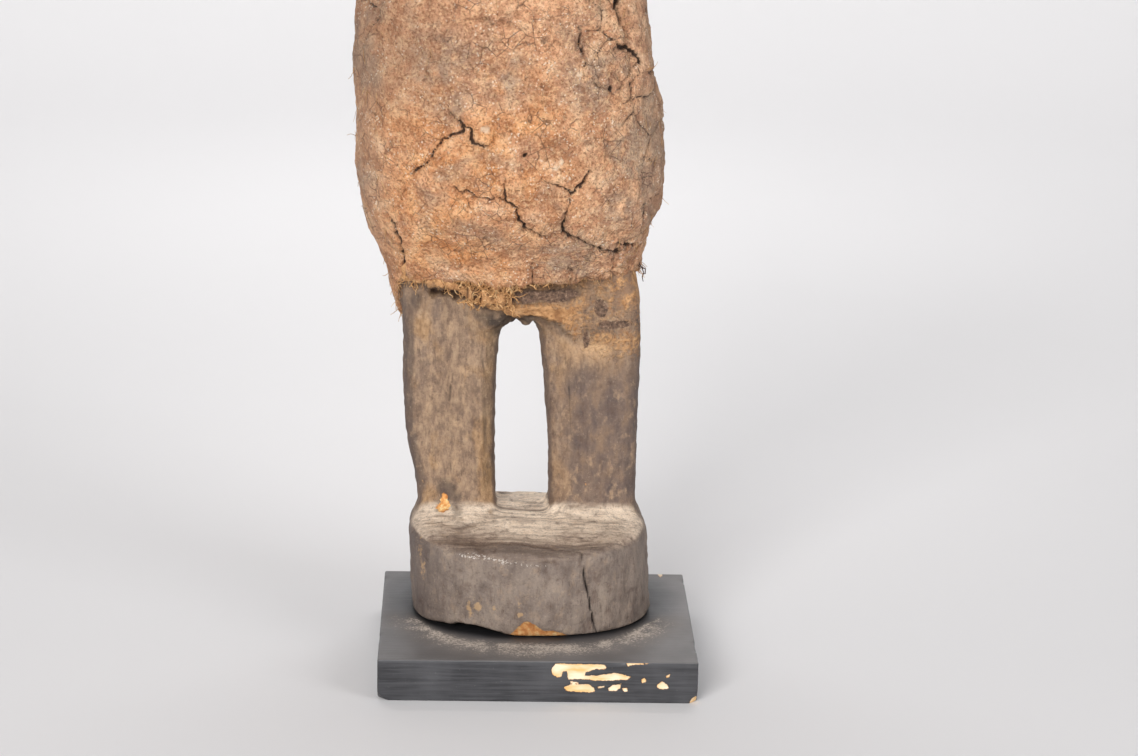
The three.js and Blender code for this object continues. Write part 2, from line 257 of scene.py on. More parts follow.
def cells(points, size, seed):
    """How wide the gap to the next cell is, in cell sizes, and a steady random value for each cell."""
    scaled = points / np.asarray(size, float)
    base = np.floor(scaled).astype(np.int64)
    nearest = np.full(len(points), 9.0)
    second = np.full(len(points), 9.0)
    owner = np.zeros(len(points))
    for corner in np.ndindex(3, 3, 3):
        cell = base + np.array(corner) - 1
        seed_point = cell + np.stack([hashed(cell, seed + axis) for axis in (1, 2, 3)], axis=-1)
        distance = np.linalg.norm(scaled - seed_point, axis=-1)
        closer = distance < nearest
        second = np.where(closer, nearest, np.minimum(second, distance))
        owner = np.where(closer, hashed(cell, seed + 4), owner)
        nearest = np.minimum(nearest, distance)
    return second - nearest, owner


def near_line(x, z, start, end):
    """How far points are from a straight line between two places, and how far along it they lie, 0 to 1."""
    run, climb = end[0] - start[0], end[1] - start[1]
    t = np.clip(((x - start[0]) * run + (z - start[1]) * climb) / (run * run + climb * climb), 0, 1)
    return np.hypot(x - start[0] - t * run, z - start[1] - t * climb), t


def near_paths(across, height, paths, width):
    """How deep points are in cracks that follow paths of (across, height, strength) places, 0 to 1."""
    depth = np.zeros_like(across)
    for path in paths:
        for start, end in zip(path, path[1:]):
            gap, t = near_line(across, height, start, end)
            strength = start[2] + (end[2] - start[2]) * t
            reach = width * (0.35 + 0.65 * strength)
            depth = np.maximum(depth, strength * np.clip(1.25 - gap / reach, 0, 1))
    return np.minimum(depth, 1)


def near_spots(across, height, spots, fullness, ragged):
    """How deep points are in round spots, given as (across, height, radius), 0 to 1."""
    depths = [fullness - (np.hypot(across - x, height - z) + ragged) / radius for x, z, radius in spots]
    return np.clip(np.maximum.reduce(depths), 0, 1)


# Meshes

def lean(points):
    """From the upright form to its real place: sheared sideways and stood on the plinth."""
    placed = np.array(points, float)
    placed[:, 0] += FIGURE_SHIFT - LEAN * placed[:, 2]
    placed[:, 2] += FOOT
    return placed


def make_object(name, points, faces, marks):
    """A mesh object from millimetre points, quads or triangles, and named values on its points."""
    mesh = bpy.data.meshes.new(name)
    faces = np.asarray(faces, np.int32)
    mesh.vertices.add(len(points))
    mesh.vertices.foreach_set("co", (np.asarray(points) * MM).astype(np.float32).ravel())
    mesh.loops.add(faces.size)
    mesh.loops.foreach_set("vertex_index", faces.ravel())
    mesh.polygons.add(len(faces))
    mesh.polygons.foreach_set("loop_start", np.arange(0, faces.size, faces.shape[1], dtype=np.int32))
    mesh.polygons.foreach_set("use_smooth", np.full(len(faces), True))
    mesh.update(calc_edges=True)
    mesh.validate()
    for mark, values in marks.items():
        layer = mesh.attributes.new(mark, "FLOAT", "POINT")
        layer.data.foreach_set("value", np.asarray(values, np.float32))
    return put(name, mesh)


def point_normals(points, quads):
    first, second, third, fourth = points[quads.T]
    face_normal = np.cross(third - first, fourth - second)
    total = np.zeros_like(points)
    for corner in quads.T:
        for axis in range(3):
            total[:, axis] += np.bincount(corner, face_normal[:, axis], len(points))
    return total / np.maximum(np.linalg.norm(total, axis=1, keepdims=True), 1e-9)


def quads_between(rows):
    """Quads between rows of point numbers, where each row closes round on itself."""
    beside = np.roll(rows, -1, axis=1)
    return np.stack([rows[:-1], beside[:-1], beside[1:], rows[1:]], axis=-1).reshape(-1, 4)


def ends(grid, axis):
    """The values at the near ends and at the far ends of a grid's edges along an axis."""
    return np.delete(grid, -1, axis), np.delete(grid, 0, axis)


def window(axes, starts, lengths):
    """Slices that take given lengths from given starts along two of three axes, and all of the third."""
    cut = [slice(None)] * 3
    for axis, start, length in zip(axes, starts, lengths):
        cut[axis] = slice(start, start + length)
    return tuple(cut)


def skin(field, *grid):
    """The surface where a field crosses zero: a quad for each edge of its (xs, ys, zs) grid that does."""
    shape = tuple(len(line) - 1 for line in grid)
    lines = np.meshgrid(*grid, indexing="ij", sparse=True)
    total, count = np.zeros(shape + (3,)), np.zeros(shape)
    for axis in range(3):
        others = [k for k in range(3) if k != axis]
        near, far = ends(field, axis)
        start, stop = ends(lines[axis], axis)
        crossing = (near < 0) != (far < 0)
        with np.errstate(divide="ignore", invalid="ignore"):
            t = np.where(crossing, near / (near - far), 0)
        for side in np.ndindex(2, 2):
            cut = window(others, side, [shape[k] for k in others])
            here = crossing[cut]
            count += here
            total[..., axis] += here * (start + t[cut] * (stop - start))
            for k, s in zip(others, side):
                total[..., k] += here * ends(lines[k], k)[s]
    active = count > 0
    number = np.full(shape, -1, np.int64)
    number[active] = np.arange(active.sum())
    quads = []
    for axis in range(3):
        others = [k for k in range(3) if k != axis]
        inner = [shape[k] - 1 for k in others]
        near, far = ends(field[window(others, (1, 1), inner)] < 0, axis)
        ring = [number[window(others, shift, inner)] for shift in ((0, 0), (1, 0), (1, 1), (0, 1))]
        loop = np.stack(ring, axis=-1)
        outward, inward = near & ~far, far & ~near
        if axis == 1:
            outward, inward = inward, outward
        quads += [loop[outward], loop[inward][:, ::-1]]
    return total[active] / count[active][:, None], np.concatenate(quads)


# Wood carving, as a field that is negative inside

LEG_OUTER = (curve([(5, -9.9), (10.3, -10.25), (18.3, -10.95), (24, -10.75), (33, -10.6)]),
             curve([(5, 10.4), (10.3, 10.35), (15.3, 10.65), (24, 11.3), (29, 11.4), (31, 11.1), (33, 10.6)]))
LEG_INNER = (curve([(8, -3.1), (10.4, -2.85), (18.3, -2.5), (24, -2), (27, -1.15), (28.2, 0.6), (30, 2.5)]),
             curve([(8, 2), (10.4, 2.25), (15.3, 2.4), (24, 2.25), (27, 1.85), (28.2, 0.6), (30, -1.5)]))
LEG_GROOVE = (-6.4, 5.4)
# The bevels down the front of each leg, as (width, depth): the outer one, then the inner one.
LEG_BEVELS = (((4.6, 3.8), (6.2, 3.6)), ((5, 3.8), (9, 2.6)))
LEG_FRONT = curve([(8, 1.2), (9, 2.1), (10.4, 3), (12.5, 3.4), (27, 3.3), (33, 3)])
LEG_BACK = curve([(8, 10.1), (11, 9.8), (27, 10), (33, 11)])
TRUNK_HALF_WIDTH = curve([(27.6, 6), (28.3, 9.4), (29.4, 10.7), (33, 10.5), (40, 7), (50, 6.1), (57, 6.3),
                          (65, 7.1), (70, 7.3), (74, 5.6), (77, 3.7), (80, 3.5)])
TRUNK_FRONT = curve([(27.6, 5), (29.4, 3.1), (36, 2.6), (44, 2.4), (57, 2.2), (70, 2.4), (77, 2.5),
                     (80, 2.6)])
TRUNK_BACK = curve([(27.6, 9), (29.4, 11), (36, 10.9), (44, 9.6), (57, 9.6), (70, 9.5), (77, 9.3), (80, 9.2)])
NECK_RADIUS = 3.6 * U
NECK_AXIS = 5.9 * U
CHIN = FIGURE_HEIGHT - HEAD_HEIGHT
HEAD_HALF_WIDTH = curve([(0, 0.1), (0.04, 0.23), (0.12, 0.33), (0.3, 0.445), (0.5, 0.485), (0.65, 0.5),
                         (0.8, 0.45), (0.9, 0.34), (0.96, 0.22), (1, 0.05)])
HEAD_FRONT = curve([(0, 0.34), (0.04, 0.4), (0.11, 0.43), (0.2, 0.435), (0.35, 0.425), (0.5, 0.42),
                    (0.6, 0.45), (0.72, 0.43), (0.82, 0.35), (0.9, 0.25), (0.96, 0.14), (1, 0.03)])
HEAD_BACK = curve([(0, -0.22), (0.05, -0.08), (0.14, 0.16), (0.3, 0.36), (0.5, 0.5), (0.66, 0.535),
                   (0.8, 0.46), (0.9, 0.31), (0.96, 0.18), (1, 0.03)])
HEAD_AXIS = NECK_AXIS + 0.02 * HEAD_DEPTH
# Places on the face, in shares of the head's height, but the eyes' distance from the middle in head widths.
EYE_OUT = 0.2
EYE_LEVEL, BROW_LEVEL, NOSE_TIP, MOUTH_LEVEL, LIP, EAR_LEVEL = 0.49, 0.575, 0.31, 0.185, 0.025, 0.45
HAIRLINE = curve([(0, 0.755), (0.35, 0.74), (0.5, 0.62), (0.62, 0.38), (1, 0.3)])


def section(x, y, left, right, front, back, square):
    """Near enough the distance to a rounded section that fills the box left..right, front..back."""
    half_width, half_depth = (right - left) / 2, (back - front) / 2
    u = np.abs(x - (left + right) / 2) / half_width
    v = np.abs(y - (front + back) / 2) / half_depth
    return ((u ** square + v ** square) ** (1 / square) - 1) * np.minimum(half_width, half_depth)


def between(field, z, low, high):
    """A form cut off below one height and above another."""
    return np.maximum(np.maximum(field, low - z), z - high)


def block_top(across, along):
    fall = BLOCK_FRONT_FALL * ease(-along, -0.1, 1) * (1 + 0.25 * bump(across - 0.2, 0.3))
    return BLOCK_HEIGHT - fall - 0.03 * BLOCK_HEIGHT * ease(along, 0.3, 1)


def block_field(x, y, z):
    across, along = 2 * x / BLOCK_WIDTH, 2 * (y - BLOCK_SETBACK) / BLOCK_DEPTH
    square = np.where(along < 0, 2.2, 3.6)
    round_side = ((np.abs(across) ** square + np.abs(along) ** square) ** (1 / square) - 1) * BLOCK_DEPTH / 2
    worn = ease(-across, 0.1, 0.5) * ease(-along, 0.45, 0.85)
    edge = 9 - 4.5 * ease(-along, 0, 0.5)
    field = soft_max(round_side, z - block_top(across, along), edge)
    return soft_max(field, BLOCK_CORNER_LIFT * worn - z, 1.6)


def bevel(x, y, edge, front, into, width, depth):
    """How far a point lies beyond the bevel between a leg's side and its front."""
    past = 1 - into * (x - edge) / width - (y - front) / depth
    return past / math.hypot(1 / width, 1 / depth)


def legs_field(x, y, z):
    height = z / U
    both = []
    for outer, inner, groove, bevels in zip(LEG_OUTER, LEG_INNER, LEG_GROOVE, LEG_BEVELS):
        edges = outer(height) * U, inner(height) * U
        into = -1 if groove > 0 else 1
        left, right = np.minimum(*edges), np.maximum(*edges)
        front, back = LEG_FRONT(height) * U, LEG_BACK(height) * U
        post = section(x, y, left, right, front, back, 5.2)
        for edge, way, (width, depth) in zip(edges, (into, -into), bevels):
            post = soft_max(post, bevel(x, y, edge, front, way, width, depth), 0.9)
        furrow = 0.18 * U * bump(x / U - groove, 0.34) * ease(front + U - y, 0, U)
        both.append(post + furrow)
    return between(soft_min(*both, 5), z, 5.5 * U, 33 * U)


def trunk_field(x, y, z):
    height = z / U
    half = TRUNK_HALF_WIDTH(height) * U
    body = section(x, y, -half, half, TRUNK_FRONT(height) * U, TRUNK_BACK(height) * U, 2.6)
    return between(body, z, 27.6 * U, 80 * U)


def neck_field(x, y, z):
    ring = np.hypot(x, y - NECK_AXIS) - NECK_RADIUS - 2.5 * bump(z - 77 * U, 9)
    return between(ring, z, 77 * U - 8, CHIN + 0.35 * HEAD_HEIGHT)


def face(across, level):
    """How far the face stands forward of the plain head, in shares of its height, at a place in widths."""
    side = np.abs(across)
    down = ease(BROW_LEVEL - level, 0, BROW_LEVEL - NOSE_TIP)
    arch = level - BROW_LEVEL + 0.9 * (side - 0.17) ** 2
    brow = 0.032 * bump(arch, 0.026) * ease(0.42 - side, 0, 0.14) * ease(side, 0, 0.1)
    socket = -0.055 * bump(side - EYE_OUT, 0.14) * bump(level - EYE_LEVEL - 0.01, 0.06)
    eye = 0.07 * bump(side - EYE_OUT, 0.1) * bump(level - EYE_LEVEL, 0.033)
    slit_line = level - EYE_LEVEL + 0.006 - 0.5 * (side - EYE_OUT) ** 2
    slit = -0.014 * bump(slit_line, 0.006) * ease(0.095 - np.abs(side - EYE_OUT), 0, 0.03)
    bridge = ease(level, NOSE_TIP - 0.03, NOSE_TIP) * ease(BROW_LEVEL + 0.03 - level, 0, 0.05)
    nose = (0.03 + 0.09 * down) * bridge * bump(side, 0.07 + 0.05 * down)
    wing = 0.022 * bump(side - 0.095, 0.032) * bump(level - NOSE_TIP - 0.012, 0.024)
    nostril = -0.02 * bump(side - 0.05, 0.022) * bump(level - NOSE_TIP + 0.018, 0.012)
    muzzle = 0.03 * bump(side, 0.24) * bump(level - MOUTH_LEVEL, 0.09)
    lips = 0.034 * (bump(level - MOUTH_LEVEL - LIP, 0.018) + bump(level - MOUTH_LEVEL + LIP, 0.02))
    parting = -0.016 * bump(level - MOUTH_LEVEL, 0.006)
    mouth = (lips + parting) * ease(0.21 - side, 0, 0.09)
    chin = 0.03 * bump(side, 0.18) * bump(level - 0.06, 0.045)
    return brow + socket + eye + slit + nose + wing + nostril + muzzle + mouth + chin


def head_field(x, y, z):
    level = (z - CHIN) / HEAD_HEIGHT
    v = y - HEAD_AXIS
    around = np.abs(turned(np.arctan2(v / HEAD_DEPTH, x / HEAD_WIDTH), FRONT)) / math.pi
    half = HEAD_HALF_WIDTH(level) * HEAD_WIDTH
    hair = HAIR_STEP * ease(level - HAIRLINE(around), 0, 0.012)
    facing = ease(-v / HEAD_DEPTH, 0.04, 0.22)
    forward = face(x / HEAD_WIDTH, level) * HEAD_HEIGHT * facing
    skull = section(x, v + forward, -half - hair, half + hair, -HEAD_FRONT(level) * HEAD_DEPTH - hair,
                    HEAD_BACK(level) * HEAD_DEPTH + hair, 2.15)
    return between(skull, z, CHIN, FIGURE_HEIGHT)


def oval_field(x, y, z, centre, radii):
    squares = [((place - middle) / radius) ** 2 for place, middle, radius in zip((x, y, z), centre, radii)]
    return (np.sqrt(squares[0] + squares[1] + squares[2]) - 1) * min(radii)


def ears_field(x, y, z):
    base = float(HEAD_HALF_WIDTH(EAR_LEVEL)) * HEAD_WIDTH
    level = CHIN + EAR_LEVEL * HEAD_HEIGHT
    size = np.array([EAR_STANDOFF, 0.105 * HEAD_DEPTH, 0.13 * HEAD_HEIGHT])
    side = np.abs(x)
    lug = oval_field(side, y, z, (base, HEAD_AXIS, level), size)
    bowl = base + 1.1 * EAR_STANDOFF, HEAD_AXIS - 0.02 * HEAD_DEPTH, level
    hollow = oval_field(side, y, z, bowl, 0.6 * size)
    notch = oval_field(side, y, z, (base + 0.5 * EAR_STANDOFF, HEAD_AXIS + 0.2, level + 1), (2.4, 3.2, 5.5))
    return soft_max(soft_max(lug, -hollow, 1), -notch, 1)


def wood_field(x, y, z):
    stand = soft_min(block_field(x, y, z), legs_field(x, y, z), 4.5)
    body = soft_min(stand, trunk_field(x, y, z), 3)
    body = soft_min(body, neck_field(x, y, z), 4)
    for *centre, radius in CLUMPS + ROLLS:
        body = soft_min(body, oval_field(x, y, z, centre, (radius, 1.3 * radius, radius)), 1.5)
    return body


def head_part(x, y, z):
    return soft_min(soft_min(neck_field(x, y, z), head_field(x, y, z), 3), ears_field(x, y, z), 1.5)


# Surface detail of the carving: tool marks, checks, chips, and dried mud over the hips

# The lower edge of the mud on the front, as (across, height).
MUD_EDGE = curve([(-54, 149), (-33, 149.5), (-24, 147), (-16.4, 140.6), (-7.6, 137.2), (-3, 134.5),
                  (5.7, 135.2), (18.9, 131), (27, 124), (36.5, 121), (56, 119)])
# Ovals on the front, as (across, height, half width, half height): gaps in the mud, bare chips, soot.
MUD_GAPS = ((5, 145, 7.6, 3.4), (16, 145.2, 8, 3.4), (23, 146.5, 5.6, 2.6), (37.6, 139.5, 3.2, 4.6),
            (43, 131.8, 7.5, 2.2), (30.5, 124.5, 1.8, 4.2))
CHIPS = ((-38.2, 46.4, 3, 2.2), (-37, 46.9, 2.8, 2.4), (-37, 49.6, 1.9, 3),
         (-46.4, 56.9, 0.8, 0.8), (27.2, 56.9, 0.9, 0.8))
# Fainter bruises on the block's front, where pale wood shows through.
BRUISES = ((-27.4, 10.6, 1.2, 4.4), (-24, 12.4, 2, 2.6), (-16.2, 12.6, 0.9, 1.2), (-4.9, 15.2, 1, 2),
           (-4.4, 10.6, 1.7, 1.5), (-48.6, 33, 0.7, 5), (-47.8, 24, 0.8, 4))
# The top of the chip in the block's lower front edge, as (across, height).
TOE_CHIP = curve([(-12, -1), (-9.6, 1.4), (-5.5, 5.4), (-2.5, 7.8), (1, 6.2), (6, 3.4), (12, 2.4),
                  (15.6, 0.8), (18, -1)])
SOOT = ((-35.6, 53.4, 4.2, 4.6), (-30.8, 48, 1.6, 4), (-45.4, 141, 3, 4), (38, 128, 6, 3))
CAVITIES = ((-30.5, 145.6, 5.2, 2.4), (-25, 143.6, 4.2, 2), (-35.6, 146, 3.6, 2.6))
# Tool lines along the legs, as (across, height, strength).
LEG_LINES = (((-31, 121, 0.3), (-31.5, 104, 0.8), (-33, 88, 0.5), (-33.6, 64, 0.6), (-33, 56, 0.2)),
             ((-16, 128, 0.4), (-16.4, 108, 0.9), (-17.6, 80, 0.7), (-17.8, 54, 0.3)),
             ((20.2, 122, 0.2), (21, 108, 0.9), (21.8, 90, 0.5), (21.2, 62, 0.5)),
             ((27, 126, 0.2), (29, 112, 0.6), (28, 96, 0.3)),
             ((-24, 92, 0.2), (-24.4, 78, 0.5), (-24, 66, 0.2)))
WHITE_DUST = ((-25.5, 35.8, 5.6, 0.8), (-17, 35.4, 4.6, 0.9), (-11.4, 34.6, 2.4, 0.9), (-6.6, 34, 3, 0.5),
              (-2, 27, 0.6, 0.5), (-22, 37, 4, 0.5), (2, 33, 5, 0.5))
BLOCK_CRACK = ((24, 37.4, 0.8), (24.7, 28.1, 0.95), (26.5, 16.2, 1), (28, 6, 1), (28.7, -2, 0.9))
# Clumps of earth in the crotch, and rolls of straw caught under the hem, as (across, along, height, radius).
CLUMPS = ((-13.4, 17.2, 130.2, 2.6), (-11.6, 17.6, 133, 2.4), (-9.4, 18.4, 132.6, 2.3),
          (-6.4, 19.4, 134.3, 2), (1.6, 18.6, 134.4, 2.4), (4, 19.6, 132.8, 2.6), (6, 20, 134, 2))
ROLLS = ((-21.5, 12.4, 147.6, 3), (-17.4, 11.6, 147, 3.4), (-12.6, 11.2, 146.2, 3.8),
         (-7.6, 11.6, 145.4, 3.6), (-3.2, 12.6, 144.8, 2.8), (-38, 13, 148.4, 2.6),
         (-34, 12, 149.4, 2.8), (-28.6, 11.6, 149.8, 2.8))


# A depth that stands for well outside a form, and one for well outside a mark.
FAR_OUTSIDE = -50.0
UNMARKED = -5.0


def inside_ovals(x, z, ovals):
    """How far points lie inside the nearest of some ovals, in millimetres."""
    depth = np.full_like(x, FAR_OUTSIDE)
    for across, height, wide, tall in ovals:
        reach = np.hypot((x - across) / wide, (z - height) / tall)
        depth = np.maximum(depth, (1 - reach) * min(wide, tall))
    return depth


def inside_outlines(x, z, outlines):
    """How far points lie inside the nearest of some outlines, in millimetres."""
    depth = np.full_like(x, FAR_OUTSIDE)
    for outline in outlines:
        nearest = np.full_like(x, -FAR_OUTSIDE)
        inside = np.zeros(len(x), bool)
        for start, end in zip(outline, outline[1:] + outline[:1]):
            nearest = np.minimum(nearest, near_line(x, z, start, end)[0])
            if end[1] != start[1]:
                reach = start[0] + (z - start[1]) / (end[1] - start[1]) * (end[0] - start[0])
                inside ^= ((start[1] > z) != (end[1] > z)) & (x < reach)
        depth = np.maximum(depth, np.where(inside, nearest, -nearest))
    return depth


def mud_depth(points, front):
    """How far a point lies within the mud over the hips, in millimetres, less than nothing outside it."""
    x, _, z = points.T
    ragged = 1.3 * noise(points, 6, 61) + 0.7 * noise(points, 2.4, 62)
    edge = np.where(front, MUD_EDGE(x), 136 + 0.09 * x)
    gaps = np.where(front, inside_ovals(x, z, MUD_GAPS), FAR_OUTSIDE)
    return np.minimum(z - edge, -gaps) + ragged


def leg_edges(points, on_leg):
    """Where the two bevels down the outer edges of the legs are greyed, and where an inner edge is olive:
    partly the wood's own colour, partly painted shade on these sideways faces.
    """
    x, _, z = points.T
    wander = 0.9 * noise(points, (5, 5, 12), 87)
    height = z / U
    from_outer = x - LEG_OUTER[0](height) * U + wander
    from_inner = LEG_INNER[0](height) * U - x + wander
    from_far_outer = LEG_OUTER[1](height) * U - x + wander
    near, far = ease(5.2 - from_outer, 0, 1.4), 0.45 * ease(5.4 - from_far_outer, 0, 1.4)
    olive = ease(6.4 - from_inner, 0, 1.4) * ease(from_inner, -3, 0)
    return {"strip": on_leg * np.maximum(near, far), "olive": on_leg * olive}


def wood_relief(points, normals):
    """How far the wood stands out of its plain form, and values that steer its colours."""
    x, y, z = points.T

    def rough(size, seed):
        return noise(points, size, seed)

    def pushed_back(distance):
        """The points moved along the depth, so that a noise on them runs at a slant."""
        moved = points.copy()
        moved[:, 1] += distance
        return moved

    front = normals[:, 1] < 0.15
    facing = ease(-normals[:, 1], -0.1, 0.35)
    seen = facing > 0.3
    level_top = ease(normals[:, 2], 0.35, 0.8)
    upright = 1 - level_top
    on_block = 1 - ease(z, 37, 47)
    block_top_share = level_top * (1 - ease(z, 50, 60))

    # Adze facets, grain and drying checks
    bent = points + 1.8 * np.stack([rough((9, 9, 30), seed) for seed in (41, 42, 43)], axis=-1)
    facets = 0.95 * layered(points, (12, 12, 40), 2, 44) + 0.4 * rough((5, 5, 15), 45)
    grain = 0.2 * (1 - 0.7 * on_block) * noise(bent, (2, 2, 26), 46)
    check_here = ease(rough((12, 12, 30), 48), 0.1, 0.5) * (1 - 0.8 * on_block)
    checks = check_here * np.clip(1 - cells(bent, (7, 7, 75), 47)[0] / 0.1, 0, 1) * upright

    # Scraped streaks on top of the block
    slewed, slewed_back = pushed_back(0.1 * x + 3 * rough(26, 59)), pushed_back(-0.16 * x - 2 * rough(22, 69))
    scraped = ease(rough((22, 9, 9), 60), -0.5, 0.2)
    cut_here = ease(rough((16, 10, 16), 70), -0.12, 0.12)
    strokes = cut_here * noise(slewed, (40, 2.2, 5), 49) + (1 - cut_here) * noise(slewed_back, (32, 2, 5), 50)
    grooves = ease(0.14 - np.abs(noise(slewed, (46, 6, 8), 88)), 0, 0.12)
    streaks = 0.2 * scraped * strokes - 0.5 * scraped * grooves
    streaks = streaks + 1.3 * rough((26, 12, 12), 80) + 0.5 * noise(slewed, (22, 6, 6), 81)

    # Tool lines, earth in the crotch with painted shade under it, cracks, chips and worn edges
    lines = near_paths(x + 0.8 * rough(9, 63), z, LEG_LINES, 1.1)
    lines *= facing * ease(rough((8, 8, 9), 64), -0.5, 0.2)
    crotch = ease(z, 120, 133) * bump(x + 3, 14) * ease(z, 138.5, 135)
    dirt_and_shade = crotch * (1.1 + 0.8 * rough(3, 65))
    crack = facing * near_paths(x + 0.35 * rough(3, 52), z, (BLOCK_CRACK,), 0.5)
    chip = np.maximum(inside_ovals(x, z, CHIPS), np.minimum(TOE_CHIP(x) - z, 3.0))
    chip = np.where(seen, chip + 0.4 * rough(1.9, 53), UNMARKED)
    cavity = ease(inside_ovals(x, z, CAVITIES) + 0.6 * rough(2.5, 54), -0.4, 1.2)
    worn_edge = on_block * bump(normals[:, 2] - 0.5, 0.32) * ease(rough((9, 9, 5), 83), 0, 0.6)
    plain = facets * (0.35 + 0.65 * upright) + grain * upright + streaks * block_top_share
    plain = plain + 1.5 * dirt_and_shade * rough(2.8, 66) + 0.35 * rough(3, 67) - 1.1 * worn_edge
    cuts = 0.35 * checks + 0.75 * lines + 2.4 * crack + 4 * facing * cavity + 0.8 * ease(chip, -0.1, 0.9)

    # Dried mud over the hips, and straw felted into it under the hem
    mud = mud_depth(points, front)
    thick = 1 - 0.72 * ease(x, 12, 36)
    coat = ease(mud, -0.2, 1.3 + 5 * ease(x, 20, 40))
    rim = bump(mud - 1.8, 1.8) * facing * ease(26 - x, 0, 14)
    at_hem = facing * ease(168 - z, 0, 8)
    nest = at_hem * ease(z, 140.5, 142.5) * ease(-x, 0, 3) * ease(x, -26, -22)
    tangle = rough(1.8, 89) + 0.6 * rough(3.4, 90)
    lumps = 0.95 * layered(points, 6, 3, 55) + 0.45 * rough(2.1, 84) + 0.9 * nest * tangle
    relief = (plain - cuts) * (1 - 0.6 * coat) + coat * (thick * (1.2 + lumps) + 0.7 * rim)

    rim_wander = 4 * rough(9, 92)
    spent = ease(x + 4 * rough(9, 58), 6, 24) * ease(126 - z, 0, 26) * ease(z, 40, 50)
    # Upright faces that look sideways: their darker colour is partly the wood's greyer edges, partly painted
    # shade.
    bevel = upright * ease(np.abs(normals[:, 0]), 0.55, 0.85)
    marks = {
        "mud": mud / (1 + 7 * ease(x, 12, 34)),
        "chip": chip,
        "dark": np.clip(np.maximum.reduce([0.4 * checks * (1 - coat), crack, 0.85 * lines]), 0, 1),
        # Painted shade in the cavities under the hem and in the gaps between the straw felted into the mud.
        "hollow": np.maximum(np.maximum(facing, front) * cavity, nest * ease(-tangle, 0.1, 0.6)),
        "bruise": np.where(seen, inside_ovals(x, z, BRUISES) + 0.5 * rough(1.9, 82), UNMARKED),
        # Painted shadow in a band just below the mud's lower edge.
        "mud_edge_shadow": facing * bump(mud + 1.1, 1.3) * ease(34 - x, 0, 10),
        # Earth in the crotch; its dark colour is partly painted shade under the arch.
        "dirt_and_shade": np.clip(dirt_and_shade, 0, 1),
        "white": np.where(seen, inside_ovals(x, z, WHITE_DUST), UNMARKED),
        "flat": block_top_share * (0.4 + 0.6 * ease(y + rim_wander, -26, -10)),
        "rim": block_top_share * ease(rim_wander - y, 10, 24),
        "pale": block_top_share * ease(y + 5 * rough(9, 85), -20, 8) * bump(x - 2, 84),
        "groove": block_top_share * scraped * grooves,
        "gap": np.where(front, inside_ovals(x, z, MUD_GAPS) - 0.5 * rough(2.4, 57), UNMARKED),
        "greyed": at_hem * ease(x, 26, 35) * ease(z, 124, 130),
        "ochre": facing * bump(x - 34 + 5 * rough(7, 93), 9) * bump(z - 120 + 3.5 * rough(6, 94), 4.5),
        # Painted shade in a band just under the crust's hem.
        "under_hem_shade": at_hem * ease(z, 146, 149.5) * bump(x - 13, 17),
        "spent": spent,
        "block": on_block,
        "bevel": bevel * (1 - 0.75 * on_block * ease(x, 20, 40)),
        "soot": facing * ease(inside_ovals(x, z, SOOT) + 1.2 * rough(3, 56), -2, 1.5),
    }
    marks.update(leg_edges(points, facing * upright * ease(z, 50, 58) * ease(140 - z, 0, 8)))
    return relief, marks


# Wrapping: cloth under a thick cracked crust, a closed shell round the trunk with its heights in U

HEM = 31.2
WRAP_TOP = 77.4
WRAP_SQUARE = 2.25
HEM_ROUNDING = 2.6
WRAP_LEFT = curve([(28, -11.4), (32.8, -12.25), (36.5, -13.35), (40.3, -14.05), (44.1, -14.35),
                   (49.7, -13.95), (57, -13.25), (64, -12.9), (69, -12.1), (72, -11), (74.5, -8.9),
                   (76.4, -6.6), (77.4, -5)])
WRAP_RIGHT = curve([(28, 11.4), (32.8, 11.8), (36.5, 13.05), (38.6, 13.95), (44.1, 14.1), (49.7, 13.85),
                    (57, 13.3), (64, 12.9), (69, 12.1), (72, 11), (74.5, 8.9), (76.4, 6.6), (77.4, 5)])
WRAP_FRONT = curve([(28, 1.9), (32.8, 0.6), (38, -2.9), (43, -4.1), (50, -4), (57, -3.5), (64, -2.9),
                    (69, -1.9), (72, -0.8), (74.5, 0.6), (76.4, 1.5), (77.4, 2)])
WRAP_BACK = curve([(28, 11.9), (32.8, 12.8), (38, 14.5), (43, 15.1), (50, 15), (57, 14.6), (64, 14.1),
                   (69, 13.3), (72, 12.4), (74.5, 11.2), (76.4, 10.3), (77.4, 9.8)])

